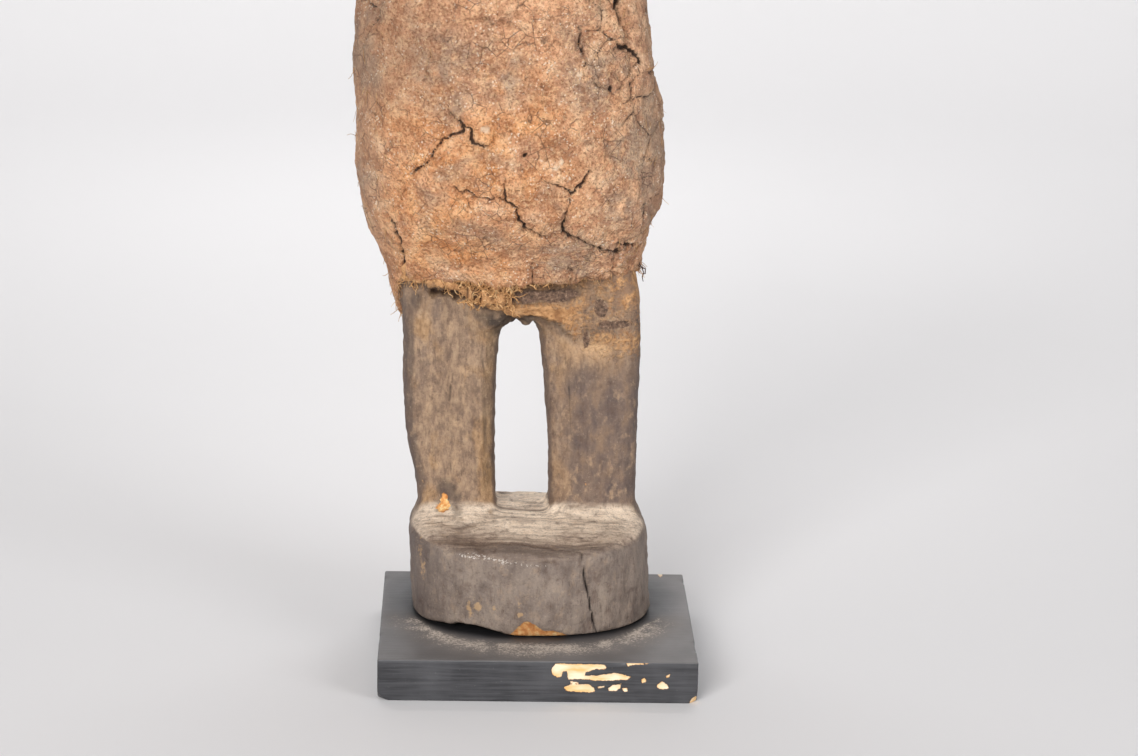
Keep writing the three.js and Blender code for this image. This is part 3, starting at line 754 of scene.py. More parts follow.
# The crust's larger cracks on the front, as (across, height, strength) in upright millimetres.
CRACKS = (
    ((-26, 238, 0.3), (-24.7, 234.4, 0.6), (-21.5, 229.4, 0.8), (-20, 226.1, 1), (-27.4, 223.5, 0.8),
     (-31.2, 216.7, 0.9), (-36.7, 210.6, 0.7), (-40.4, 207.1, 0.9), (-44.5, 203.4, 0.5)),
    ((-20.4, 228.4, 1), (-16.9, 227, 0.8), (-16.4, 221.5, 1), (-12.4, 219.4, 0.8), (-9, 220.4, 0.6),
     (-6.8, 224, 0.4)),
    ((-2.5, 206.5, 0.5), (-2.9, 199, 0.7), (-3, 194, 0.9), (2.8, 190.8, 0.8), (2.6, 184.8, 1.1),
     (6.6, 180.2, 0.8), (11.4, 176.6, 0.7), (18.4, 178.5, 0.5)),
    ((13.5, 205.4, 0.5), (23.2, 201.1, 0.8), (26.1, 197.8, 1), (31, 202, 0.8), (34.4, 208.4, 0.6)),
    ((26.1, 197.8, 0.6), (23.6, 188.5, 0.6), (22.5, 178.6, 1.3), (29, 174.6, 0.8), (37.8, 169.6, 1),
     (45.8, 167.4, 0.9), (51.3, 170.2, 0.6)),
    ((-24.6, 200, 0.6), (-20.1, 197.3, 0.8), (-15.9, 195.4, 0.7), (-9.4, 195.8, 0.7), (-3, 195.6, 0.7)),
    ((-17.8, 195.4, 0.6), (-18.2, 189, 0.5), (-17.6, 183, 0.4)),
    ((-28, 190, 0.3), (-25, 184, 0.5), (-24, 178, 0.4)),
    ((7.4, 162, 0.4), (8.2, 155, 0.6), (8, 150, 0.5)), ((24, 164, 0.5), (24.6, 158, 0.6), (24.4, 154, 0.4)),
    ((44.5, 171.6, 0.6), (48.6, 170.4, 0.9), (53, 169.8, 0.7)),
    ((-36, 246, 0.4), (-33.4, 252, 0.5), (-32.8, 258, 0.4)),
    ((-44, 210, 0.3), (-47, 202, 0.4), (-45, 196, 0.3)),
    ((31.8, 270.5, 0.5), (33.6, 262.8, 0.8), (35.5, 255.4, 0.7), (33, 248, 0.4)),
    ((49, 283, 1.7), (49.5, 276.5, 2.1), (50.3, 270.9, 1.3), (51.4, 266, 0.4)),
    ((49.8, 262.5, 0.9), (52.5, 260.3, 1.5), (55, 258, 1.7), (57, 254.5, 1.3), (58.5, 251.5, 0.6)),
    ((-32.3, 263.3, 0.3), (-24, 269, 0.4), (-17.5, 273.4, 0.5), (-8, 274.2, 0.45), (2.2, 272.5, 0.5),
     (9.1, 268.9, 0.3)),
    ((-56.7, 185.7, 0.6), (-52.7, 179.2, 1), (-50.5, 166.2, 1.1), (-50, 159.8, 1.3), (-51.6, 152, 1.4),
     (-52.2, 140, 1.4)),
    ((36, 249, 0.4), (41, 244, 0.6), (47, 241, 0.5), (51, 246, 0.6), (57, 254, 0.5)),
)
# Pits, greyed places and pale stones in the crust, as (across, height, radius).
PITS = ((45.5, 243.6, 1.2), (6.5, 215.5, 0.9))
GREY_PATCHES = ((-27, 254, 15), (38, 246, 13), (24, 166, 15), (54, 215, 17), (-2, 247, 8), (-60, 250, 10),
                (46, 190, 9))
STONES = ((-10.1, 226.4, 2.1), (19.3, 210.1, 2.4), (31.8, 250, 1.8), (-6.5, 201.5, 1.8), (22, 213, 1.8))


def hem(angle):
    """The hem's height in U: a flap hangs over one hip and the other side rides up."""
    flap = -3.7 * bump(turned(angle, math.pi * 1.02), 0.24)
    rise = 1.1 * bump(turned(angle, -0.3), 0.55)
    front = 0.4 * bump(turned(angle, -1.45), 0.36)
    sag = -0.2 * bump(turned(angle, -2.1), 0.3) - 0.6 * bump(turned(angle, math.pi / 2), 0.7)
    return HEM + flap + rise + sag + front + 0.25 * np.sin(5 * angle)


def crust(angle, height):
    """Broad lumps of the crust, and the furrows in front of the bound arms, in U outwards."""
    lumps = (0.14 * np.sin(3 * angle + 0.31 * height) + 0.11 * np.sin(5 * angle - 0.42 * height + 1.7)
             + 0.08 * np.sin(9 * angle + 0.83 * height))
    near_arm = ease(height, 50.5, 53.5) * ease(72 - height, 0, 6)
    far_arm = ease(height, 57, 62) * ease(72 - height, 0, 6)
    furrows = near_arm * bump(turned(angle, -0.62), 0.07) + 0.6 * far_arm * bump(turned(angle, -2.5), 0.08)
    forearm = 0.3 * bump(turned(angle, -0.4), 0.2) * bump(height - 53, 3)
    corner = 0.12 * bump(turned(angle, -0.1), 0.25) * bump(height - 39.4, 1.8)
    return lumps * ease(height, HEM, HEM + 4) - furrows * ARM_GROOVE_DEPTH / U + forearm + corner


def wrap_outside(angle, level):
    """The crust's plain outer form, upright in millimetres."""
    height = level + (hem(angle) - HEM) * (1 - ease(level, HEM, HEM + 7))
    left, right, front, back = (side(height) for side in (WRAP_LEFT, WRAP_RIGHT, WRAP_FRONT, WRAP_BACK))
    cosine, sine, out = np.cos(angle), np.sin(angle), crust(angle, height)
    across, along = (np.sign(share) * np.abs(share) ** (2 / WRAP_SQUARE) for share in (cosine, sine))
    x = (left + right) / 2 + (right - left) / 2 * across + out * cosine
    y = (front + back) / 2 + (back - front) / 2 * along + out * sine
    return np.stack([x, y, height], axis=-1) * U


def even_columns(front_step, back_step):
    """Directions round the wrapping whose points lie evenly apart, closer together on the front."""
    seam, directions, half_view = 0.35, 4001, 1.75
    fine = np.linspace(-math.pi - seam, math.pi - seam, directions)
    ring = wrap_outside(fine, np.full_like(fine, 45))
    gaps = np.linalg.norm(np.diff(ring, axis=0), axis=1)
    middle = (fine[1:] + fine[:-1]) / 2
    showing = np.abs(turned(middle, FRONT)) < half_view
    count = np.concatenate([[0], np.cumsum(gaps / np.where(showing, front_step, back_step))])
    columns = int(count[-1])
    return np.interp(np.arange(columns) * count[-1] / columns, count, fine)


def wrap_relief(points, angle):
    """How far the crust stands out of its plain form, and values that steer its colours."""
    x, _, z = points.T

    def rough(size, seed):
        return noise(points, size, seed)

    facing = ease(-np.sin(angle), -0.25, 0.1)
    side = ease(np.abs(x), 48, 64)
    lumps = (1.0 - 0.7 * side) * layered(points, 24, 2, 11) + (0.8 - 0.4 * side) * layered(points, 9, 2, 12)
    grain = 0.45 * rough(3.4, 13) + 0.42 * rough(1.9, 14)
    streaks = 0.45 * rough((2.2, 2.2, 17), 23)

    # Slabs of crust that have dried apart, and finer crazing
    bent = points + 1.6 * np.stack([rough(7, seed) for seed in (31, 32, 33)], axis=-1)
    slab_gap, slab_level = cells(bent, (21, 21, 16), 15)
    slab = 0.9 * (slab_level - 0.5) * ease(slab_gap, 0, 0.12)
    calm = facing * bump(np.hypot(x + 2, (z - 228) * 0.8), 26)
    split_here = ease(rough(34, 16), 0.0, 0.45) * (1 - calm)
    slab_crack = split_here * np.clip(1 - slab_gap / 0.055, 0, 1)
    craze_here = ease(rough(19, 19), 0.05, 0.45)
    craze = craze_here * np.clip(1 - cells(bent, 8.5, 18)[0] / 0.11, 0, 1)

    # Single cracks, pits and stones, in the places where the photograph has them
    wander = [rough(4.6, seed) + 0.9 * rough(2.2, seed + 5) for seed in (21, 22)]
    main = facing * near_paths(x + wander[0], z + wander[1], CRACKS, 0.85)
    pits = facing * near_spots(x, z, PITS, 1.4, 0.9 * rough(1.8, 26))
    stones = facing * near_spots(x, z, STONES, 1.3, 1.4 * rough(2.2, 27))
    greyed = [bump(np.hypot(x - across, z - height), radius) for across, height, radius in GREY_PATCHES]
    depth = np.maximum.reduce([3.0 * main, 1.3 * slab_crack, 0.6 * craze, 2.4 * pits])
    relief = lumps + grain * (1 - 0.4 * side) + slab + streaks * side + 0.5 * stones - depth
    warm_low = bump(np.hypot((x + 25) / 42, (z - 178) / 45), 1)
    warm_high = bump(np.hypot((x + 4) / 46, (z - 222) / 32), 1)
    marks = {
        "crack": np.clip(np.maximum.reduce([main, 0.75 * slab_crack, 0.5 * craze, pits]), 0, 1),
        "high": lumps + 1.3 * grain + slab,
        "warm": facing * np.clip(warm_low + 0.8 * warm_high, 0, 1),
        "side": side,
        "shade": facing * bump(np.hypot((x + 47) / 22, (z - 262) / 30), 1),
        "grey": np.where(facing > 0.5, facing * np.maximum.reduce(greyed), 0.4),
        "stone": stones,
    }
    return relief, marks


def wrap_inside(angles, levels):
    """The wrapping's inner side, just clear of the wood it is wound on."""
    angle, level = (grid.ravel() for grid in np.meshgrid(angles, levels))
    outer = wrap_outside(angle, level)
    middle = 6.4 * U

    def part_way(share):
        return share * outer[:, 0], middle + share * (outer[:, 1] - middle), outer[:, 2]

    near, far = np.zeros(len(outer)), np.ones(len(outer))
    for _ in range(12):
        share = (near + far) / 2
        in_wood = wood_field(*part_way(share)) < 0.45
        near, far = np.where(in_wood, share, near), np.where(in_wood, far, share)
    return np.stack(part_way(np.minimum(far, 0.985)), axis=-1)


def make_wrap():
    """The crust's points, quads and marks, and its outer side once more as a grid of points and normals."""
    fine, wide, shoulder = 0.86, 1.6, 62
    angles = even_columns(fine, 1.7)
    showing, hidden = np.arange(HEM, shoulder, fine / U), np.arange(shoulder, WRAP_TOP, wide / U)
    levels = np.concatenate([showing, hidden, [WRAP_TOP]])
    angle, level = np.meshgrid(angles, levels)
    rows, columns = angle.shape
    outside = wrap_outside(angle, level).reshape(-1, 3)
    number = np.arange(rows * columns).reshape(rows, columns)
    quads = quads_between(number)
    relief, marks = wrap_relief(outside, angle.ravel())
    above_hem = (level.ravel() - HEM) * U
    marks["hem"] = ease(6 - above_hem + 2.5 * noise(outside, 6, 29), 0, 6)
    tuck = HEM_ROUNDING * (1 - np.sqrt(1 - np.clip(1 - above_hem / HEM_ROUNDING, 0, 1) ** 2))
    ragged = 1.4 * noise(outside, 8, 24) + 0.9 * noise(outside, 2.8, 25) + 1.1 * noise(outside, 19, 28)
    outside += point_normals(outside, quads) * (relief - tuck)[:, None]
    outside[:, 2] += ragged * (1 - ease(above_hem, 0, 9))
    near_hem, above = np.linspace(HEM + 0.3, HEM + 4, 7), np.linspace(HEM + 7, WRAP_TOP - 0.5, 20)
    inside = wrap_inside(angles, np.concatenate([near_hem, above]))
    inner_number = rows * columns + np.arange(len(inside)).reshape(-1, columns)
    shell = quads_between(np.concatenate([number[::-1], inner_number, number[-1:]]))[:, ::-1]
    marks = {name: np.concatenate([values, np.full(len(inside), 0.5)]) for name, values in marks.items()}
    normals = point_normals(outside, quads).reshape(rows, columns, 3)
    return np.concatenate([outside, inside]), shell, marks, outside.reshape(rows, columns, 3), normals


def make_figure():
    """The carving in one closed skin. Its rows lie close together where they show, and wide where hidden."""
    fine, wide, coarse, margin, below = 1.0, 1.7, 5.0, 3, -2.05
    behind, hidden_from, hidden_to, in_neck = 26, 34 * U, 75 * U, CHIN - 14
    xs = np.arange(-BLOCK_WIDTH / 2 - margin, BLOCK_WIDTH / 2 + margin + 1, fine)
    ys = np.concatenate([np.arange(BLOCK_SETBACK - BLOCK_DEPTH / 2 - margin, behind, fine),
                         np.arange(behind, HEAD_AXIS + 0.6 * HEAD_DEPTH + margin, wide)])
    zs = np.concatenate([np.arange(below, hidden_from, fine), np.arange(hidden_from, hidden_to, coarse),
                         np.arange(hidden_to, FIGURE_HEIGHT + margin, wide)])
    x, y, z = np.meshgrid(xs, ys, zs, indexing="ij", sparse=True)
    split = np.searchsorted(zs, in_neck)
    field = np.concatenate([wood_field(x, y, z[:, :, :split]), head_part(x, y, z[:, :, split:])], axis=2)
    points, quads = skin(field, xs, ys, zs)
    normals = point_normals(points, quads)
    relief, marks = wood_relief(points, normals)
    relief = np.where((points[:, 2] < 1) & (normals[:, 2] < -0.5), 0, relief)
    points = points + normals * relief[:, None]
    points[:, 2] = np.maximum(points[:, 2], 0)
    return points, quads, marks


# Loose fibres: a fringe at the hem, straw caught under it, hairs on the crust and one short twisted thread

def tube(path, radius, sides=5):
    """A closed thin tube along a path, tapering a little to its end, in triangles."""
    path = np.asarray(path, float)
    along = np.gradient(path, axis=0)
    along /= np.linalg.norm(along, axis=1, keepdims=True)
    side = np.cross(along, (0.37, 0.61, 0.70))
    side /= np.linalg.norm(side, axis=1, keepdims=True)
    other = np.cross(along, side)
    turn = np.arange(sides) * 2 * math.pi / sides
    thickness = radius * np.linspace(1, 0.45, len(path))[:, None, None]
    ring = np.cos(turn)[None, :, None] * side[:, None] + np.sin(turn)[None, :, None] * other[:, None]
    points = np.concatenate([(path[:, None] + thickness * ring).reshape(-1, 3), path[:1], path[-1:]])
    number = np.arange(len(path) * sides).reshape(-1, sides)
    beside = np.roll(number, -1, axis=1)
    quads = quads_between(number)
    first, last = np.full(sides, len(points) - 2), np.full(sides, len(points) - 1)
    caps = [np.stack([first, beside[0], number[0]], -1), np.stack([last, number[-1], beside[-1]], -1)]
    return points, np.concatenate([quads[:, [0, 1, 2]], quads[:, [0, 2, 3]], *caps])


def curl(start, heading, length, droop, wildness, steps, rng):
    """A path that sets out from a point, sags and wanders."""
    path = [np.array(start, float)]
    heading = np.array(heading, float)
    for _ in range(steps):
        heading = heading + wildness * rng.normal(size=3) + (0, 0, -droop)
        heading /= np.linalg.norm(heading)
        path.append(path[-1] + heading * length / steps)
    return path


# The short twisted thread at the right hem, as (path, radius): the thread and two loose ends.
THREAD = (
    (((55, 24, 163), (56, 24, 160.4), (55.8, 24.2, 158), (57, 24, 156), (57.6, 24, 154), (56.8, 24, 152.2),
      (57.2, 24, 150)), 0.42),
    (((55.4, 24, 161), (54.4, 24, 159.6), (55, 24, 157.6), (56.2, 24, 156.4)), 0.28),
    (((56.6, 24, 156.6), (58.4, 24, 155.8), (58.2, 24, 153.6), (57, 24, 153.4)), 0.4),
)


def grow_fibres(crust_grid, crust_normals):
    """The fibres as (path, radius, darkness), drawn one after another from one seed."""
    rng = np.random.default_rng(11)
    rows, columns = crust_grid.shape[:2]

    def strand(start, heading, length, droop, wildness, steps, thin, thick):
        return curl(start, heading, length, droop, wildness, steps, rng), rng.uniform(thin, thick)

    # The fringe at the hem, shorter over the window in the mud
    for count in range(230):
        row, column = rng.integers(1, 5), rng.integers(columns)
        start = crust_grid[row, column] - 0.4 * crust_normals[row, column]
        heading = crust_normals[row, column] * rng.uniform(0.1, 0.7) + (0, 0, -1) + 0.5 * rng.normal(size=3)
        length = rng.uniform(2, 6) * (0.45 if 0 < start[0] < 34 and start[1] < 20 else 1)
        yield *strand(start, heading, length, 0.15, 0.25, 6, 0.12, 0.24), 0.35

    # Straw that hangs out from under the hem, most of it on one side
    for count in range(90):
        across = rng.uniform(-33, -3) if count < 62 else rng.uniform(-52, 20)
        column = np.argmin(np.hypot(crust_grid[1, :, 0] - across, (crust_grid[1, :, 1] > 20) * 99))
        start = crust_grid[rng.integers(1, 3), column] - (0, -0.5, 0.3)
        heading = (rng.normal() * 1.2, rng.uniform(0.1, 0.9), -rng.uniform(0.3, 1))
        length = rng.uniform(5, 12) * (0.5 if across > 0 else 1)
        yield *strand(start, heading, length, 0.03, 0.42, 11, 0.2, 0.42), 0.1

    # Straw felted into the mud under the hem
    for count in range(150):
        across, height = rng.uniform(-24, -1), rng.uniform(141.5, 149.5)
        along = 7.4 + 0.12 * abs(across + 12) + rng.uniform(-0.8, 0.8)
        start = (across, along, height - 0.12 * (across + 12))
        heading = (rng.normal(), 0.25 * rng.normal() - 0.1, rng.normal())
        yield *strand(start, heading, rng.uniform(4, 9), 0, 0.55, 9, 0.25, 0.5), rng.uniform(0, 0.4)

    # Hairs on the crust, most of them on its sides
    for count in range(260):
        row, column = rng.integers(4, rows - 60), rng.integers(columns)
        if abs(crust_grid[row, column, 0]) > 46 or count % 4 == 0:
            start = crust_grid[row, column] + 0.05 * crust_normals[row, column]
            heading = np.cross(crust_normals[row, column], rng.normal(size=3)) * (1, 1, 1.6) + (0, 0, -0.6)
            yield *strand(start, heading, rng.uniform(3, 7), 0, 0.16, 6, 0.1, 0.2), 0.3

    for path, radius in THREAD:
        yield path, radius, 1


def make_fibres(crust_grid, crust_normals):
    points, faces, dark = [], [], []
    for path, radius, shade in grow_fibres(crust_grid, crust_normals):
        ring_points, ring_faces = tube(path, radius)
        faces.append(ring_faces + sum(map(len, points)))
        points.append(ring_points)
        dark.append(np.full(len(ring_points), shade))
    return np.concatenate(points), np.concatenate(faces), {"shade": np.concatenate(dark)}


# Display plinth: a painted board with knocked corners and losses in the paint

PLINTH_EDGE = 0.45
PLINTH_EDGE_ROUND = 1.7 * PLINTH_EDGE
# The knocked-off lower front corners, as (across, along, up) from the corner.
LEFT_CHIP = (4.5, 5, 4)
RIGHT_CHIP = (3.6, 4, 6)
# Paint losses on the front, as outlines of (across, height) corners, and one on the top.
PAINT_LOSSES = (
    ((5.6, 14.9), (7.4, 18.1), (18.5, 18.0), (28.9, 18.0), (30.1, 16.7), (29.1, 15.3), (25.0, 15.5),
     (21.0, 14.2), (20.5, 12.5), (26.0, 12.8), (33.6, 14.0), (37.6, 13.2), (40.8, 12.1), (38.9, 10.9),
     (32.6, 10.3), (23.5, 10.4), (17.5, 11.0), (13.0, 10.6), (12.7, 14.6), (11.0, 14.4), (10.4, 11.8),
     (8.2, 11.6), (6.4, 12.9)),
    ((11.2, 7.1), (14.0, 8.3), (22.5, 8.7), (24.5, 7.0), (25.3, 5.4), (22.5, 4.6), (16.5, 5.1),
     (12.5, 5.4)),
    ((14.0, 10.0), (17.5, 9.4), (18.2, 8.8), (15.0, 8.3)),
    ((30.6, 7.0), (32.6, 8.2), (36.6, 9.1), (36.1, 7.3), (34.6, 5.6), (31.1, 5.5)),
    ((36.9, 6.8), (39.2, 7.2), (39.3, 5.4), (37.6, 5.1)),
    ((25.8, 7.5), (29.0, 8.0), (29.1, 7.0), (26.5, 6.5)),
    ((44.9, 11.0), (46.6, 11.8), (47.4, 10.2), (45.6, 9.2)),
    ((51.7, 8.3), (54.2, 10.3), (56.7, 8.8), (57.2, 7.1), (54.7, 6.4), (52.7, 7.0)),
    ((38.4, 18.3), (40.2, 19.0), (41.8, 18.6), (48.5, 18.7), (48.5, 18.3), (41.8, 17.9), (39.2, 17.0)),
    ((55.7, 12.8), (58.2, 14.1), (57.7, 12.9), (56.2, 11.5)),
    ((-7.8, 16.2), (-7.1, 16.3), (-6.9, 15.6), (-7.7, 15.4)),
)
TOP_LOSS = (((58, 60), (60.6, 60), (60.4, 57), (59.2, 55), (58.6, 57)),)


def plinth_field(x, y, z):
    low, high = PLINTH_LOW, PLINTH_HIGH
    across = np.maximum(low[0] - x, x - high[0])
    along = np.maximum(low[1] - y, y - high[1])
    upright = np.maximum(low[2] - z, z - high[2])
    board = soft_max(soft_max(across, along, PLINTH_EDGE_ROUND), upright, PLINTH_EDGE_ROUND)
    for corner, (wide, deep, tall) in ((low[0], LEFT_CHIP), (high[0], RIGHT_CHIP)):
        chip = np.abs(x - corner) / wide + np.abs(y - low[1]) / deep + np.abs(z - low[2]) / tall - 1
        board = soft_max(board, -chip * 2.4, 0.5)
    return board


def make_plinth():
    low, high = PLINTH_LOW, PLINTH_HIGH
    rounding = np.arange(-0.3, 1.5, 0.4)
    # The columns are close together where the front has its paint losses.
    from_x, to_x = 3, 60
    columns = np.concatenate([np.arange(low[0] + 2, from_x, 1.4), np.arange(from_x, to_x, 0.6),
                              np.arange(to_x, high[0] - 1.7, 0.9)])
    middles = columns, np.arange(low[1] + 2, high[1] - 2, 1.6), np.arange(low[2] + 1.7, high[2] - 1.6, 0.6)
    xs, ys, zs = (np.concatenate([low[axis] + rounding, middle, high[axis] - rounding[::-1]])
                  for axis, middle in enumerate(middles))
    points, quads = skin(plinth_field(*np.meshgrid(xs, ys, zs, indexing="ij", sparse=True)), xs, ys, zs)
    x, y, z = points.T
    normals = point_normals(points, quads)
    front = ease(-normals[:, 1], 0.3, 0.8)
    top = ease(normals[:, 2], 0.3, 0.8)

    # Losses in the paint
    bare = np.where(front > 0.5, inside_outlines(x, z, PAINT_LOSSES), UNMARKED)
    bare = np.where(top > 0.5, inside_outlines(x, y, TOP_LOSS), bare)
    corner = np.hypot(np.hypot(x - high[0], y - low[1]), z - low[2])
    bare = np.maximum(bare + 0.12 * noise(points, (2.6, 2.6, 1.2), 71), 3.4 - corner)

    # A band of dust round the figure's foot, a film of dust with a painted sheen over the board's top, and a
    # painted contact shadow close round the foot
    beside = block_field(x - FIGURE_SHIFT, y, np.full_like(x, 6.0))
    arc = 13.5 - 8 * (x / 50) ** 2 + 2.5 * noise(points, 13, 73)
    ring = bump(beside - arc, np.where(beside < arc, 0.55 * arc, 13)) * ease(-y, -10, 16)
    dust = top * ring * np.clip(0.9 + 0.4 * noise(points, 5, 74), 0.3, 1)
    # Dust and a painted sheen on the top, lighter towards the right.
    dust_film_and_sheen = top * (0.37 + 0.14 * ease(x, 0, 60))
    to_edges = [np.abs(y - low[1]), np.abs(x - low[0]), np.abs(x - high[0])]
    edge = np.abs(z - high[2]) + np.minimum.reduce(to_edges)
    marks = {
        "bare": bare,
        "dust": dust,
        "dust_film_and_sheen": dust_film_and_sheen * ease(beside + 3 * noise(points, 14, 91), 0, 16),
        # Painted contact shadow close round the figure's foot.
        "under": top * ease(5.5 - beside - 1.5 * noise(points, 9, 86), 0, 6),
        "edge": bump(edge, 1.1),
    }
    dent = 0.35 * ease(bare, -0.1, 0.35) * front
    nick = 0.5 * ease(noise(points, (7, 7, 5), 75), 0.45, 0.8) * bump(edge, 1.5)
    heap = 0.3 * dust * (0.5 + 0.5 * noise(points, 1.8, 76))
    return points + normals * (heap - dent - nick)[:, None], quads, marks


# Materials. Colours are as they look on a screen, 0 to 255, and a ramp's stops are (place, red, green, blue).

def tint(red, green, blue):
    shares = [value / 255 for value in (red, green, blue)]
    return tuple(s / 12.92 if s <= 0.04045 else ((s + 0.055) / 1.055) ** 2.4 for s in shares) + (1,)


class Finish:
    """One procedural material. Helpers add a node and give back its output, or lay a colour over the last."""

    def __init__(self, name, roughness):
        self.material = bpy.data.materials.new(name)
        self.material.use_nodes = True
        self.tree = self.material.node_tree
        self.shader = self.tree.nodes["Principled BSDF"]
        self.shader.inputs["Roughness"].default_value = roughness
        self.place = self.node("TexCoord", "Object")
        self.colour = None

    def node(self, kind, output, inputs=(), **settings):
        """A node of a kind, with values or other outputs fed into its inputs."""
        node = self.tree.nodes.new("ShaderNode" + kind)
        for name, value in settings.items():
            setattr(node, name, value)
        for socket, value in dict(inputs).items():
            self.feed(node.inputs[socket], value)
        return node.outputs[output]

    def feed(self, socket, value):
        if isinstance(value, bpy.types.NodeSocket):
            self.tree.links.new(value, socket)
        else:
            socket.default_value = value

    def mark(self, name):
        return self.node("Attribute", "Fac", attribute_name=name)

    def noise(self, size, detail=2, stretch=None, wobble=0, rough=0.5):
        """Noise from 0 to 1 with features of a size in millimetres."""
        place = self.place
        if stretch:
            squeeze = [1 / share for share in stretch]
            place = self.node("Mapping", "Vector", {"Scale": squeeze, "Vector": place})
        return self.node("TexNoise", "Fac", {"Scale": 1 / (size * MM), "Detail": detail, "Roughness": rough,
                                             "Distortion": wobble, "Vector": place})

    def grains(self, size, feature="F1", output="Distance"):
        inputs = {"Scale": 1 / (size * MM), "Vector": self.place}
        return self.node("TexVoronoi", output, inputs, feature=feature)

    def ramp(self, value, *stops):
        output = self.node("ValToRGB", "Color", {"Fac": value})
        elements = output.node.color_ramp.elements
        while len(elements) < len(stops):
            elements.new(1)
        for element, (place, *colour) in zip(elements, stops):
            element.position = place
            element.color = tint(*colour)
        return output

    def share(self, value, low, high, start=0, end=1):
        """A value brought from low..high to start..end and kept there."""
        inputs = {"From Min": low, "From Max": high, "To Min": start, "To Max": end, "Value": value}
        return self.node("MapRange", "Result", inputs)

    def math(self, kind, first, second):
        return self.node("Math", "Value", {0: first, 1: second}, operation=kind)

    def times(self, first, second):
        return self.math("MULTIPLY", first, second)

    def plus(self, first, second):
        return self.math("ADD", first, second)

    def centred(self, value):
        return self.math("SUBTRACT", value, 0.5)

    def marked(self, name, strength):
        return self.times(self.mark(name), strength)

    def ragged(self, name, fine, reach):
        """A mark with a fine centred noise added, so that the mark's edge is ragged."""
        return self.plus(self.mark(name), self.times(fine, reach))

    def mix(self, under, over, share):
        over = tint(*over) if isinstance(over, tuple) else over
        return self.node("Mix", 2, {0: share, 6: under, 7: over}, data_type="RGBA")

    def over(self, colour, share):
        """Lays a colour over what is there so far."""
        self.colour = self.mix(self.colour, colour, share)

    def stain(self, name, colour, strength):
        """Lays a colour over what is there so far, where a mark is."""
        self.over(colour, self.marked(name, strength))

    def bump(self, height, depth, under=None):
        """A relief of a depth in millimetres, from a height of 0 to 1, on top of another."""
        inputs = {"Distance": depth * MM, "Height": height}
        if under:
            inputs["Normal"] = under
        return self.node("Bump", "Normal", inputs)

    def finish(self, normal, roughness=None):
        self.feed(self.shader.inputs["Base Color"], self.colour)
        self.feed(self.shader.inputs["Normal"], normal)
        if roughness:
            self.feed(self.shader.inputs["Roughness"], roughness)
        return self.material


def crust_finish():
    """Dried earth: orange-brown, pink and grey patches full of grit, with dark cracks and pale stones."""
    f = Finish("dried_earth", 0.82)

    # Patches
    patches = f.noise(9, 5, wobble=0.4, rough=0.62)
    f.colour = f.ramp(patches, (0.3, 158, 110, 80), (0.42, 204, 147, 110), (0.52, 228, 172, 132),
                      (0.62, 244, 198, 158), (0.75, 222, 184, 154))
    orange = f.ramp(patches, (0.3, 176, 108, 60), (0.48, 226, 152, 92), (0.66, 250, 188, 130))
    f.over(orange, f.marked("warm", f.share(f.noise(14, 3), 0.32, 0.62)))
    grey_place = f.plus(f.share(f.noise(17, 3, wobble=0.5), 0.54, 0.72, 0, 0.6), f.marked("side", 0.4))
    grey_place = f.plus(grey_place, f.marked("grey", f.share(f.noise(6, 3), 0.3, 0.6)))
    grey = f.ramp(f.noise(5, 3), (0.35, 134, 116, 104), (0.65, 184, 160, 138))
    f.over(grey, f.math("MINIMUM", grey_place, 0.75))
    # Painted shade: darker where the crust's relief is low.
    f.over((150, 104, 78), f.share(f.mark("high"), 0.2, -1.3, 0, 0.5))

    # Grit, glints and stones, as (colour, source, from, to, strength)
    grit = f.noise(1.1, 4, rough=0.72)
    crumbs = f.grains(1.15, output="Color")
    rough_here = f.share(f.mark("side"), 0, 1, 1, 0.45)
    for colour, source, low, high, strength in (((134, 88, 50), crumbs, 0.42, 0.16, 0.34),
                                                ((255, 216, 166), crumbs, 0.6, 0.86, 0.3),
                                                ((118, 76, 42), grit, 0.48, 0.34, 0.78),
                                                ((255, 218, 172), grit, 0.56, 0.7, 0.6)):
        f.over(colour, f.times(f.share(source, low, high, 0, strength), rough_here))
    glints = f.times(f.share(f.grains(0.7, output="Color"), 0.8, 0.86), f.share(f.noise(8, 2), 0.42, 0.6))
    f.over((255, 238, 214), f.times(glints, 0.6))
    f.over((240, 214, 184), f.share(f.ragged("stone", f.centred(f.noise(1.4, 3)), 1.6), 0.4, 0.95, 0, 0.75))
    f.stain("shade", (118, 82, 60), 0.42)
    f.stain("hem", (134, 90, 54), 0.5)

    # Hairlines and cracks
    seams = f.grains(6.5, "DISTANCE_TO_EDGE")
    hairlines = f.times(f.share(seams, 0.045, 0.0), f.share(f.noise(13, 2), 0.5, 0.62))
    f.over((70, 46, 36), f.times(hairlines, 0.75))
    f.over((40, 27, 22), f.share(f.ragged("crack", f.centred(f.noise(1.1, 3)), 0.75), 0.34, 0.66, 0, 0.92))
    normal = f.bump(grit, 0.8, f.bump(f.noise(2.2, 3, rough=0.6), 1.2))
    return f.finish(normal, f.share(glints, 0, 1, 0.84, 0.4))


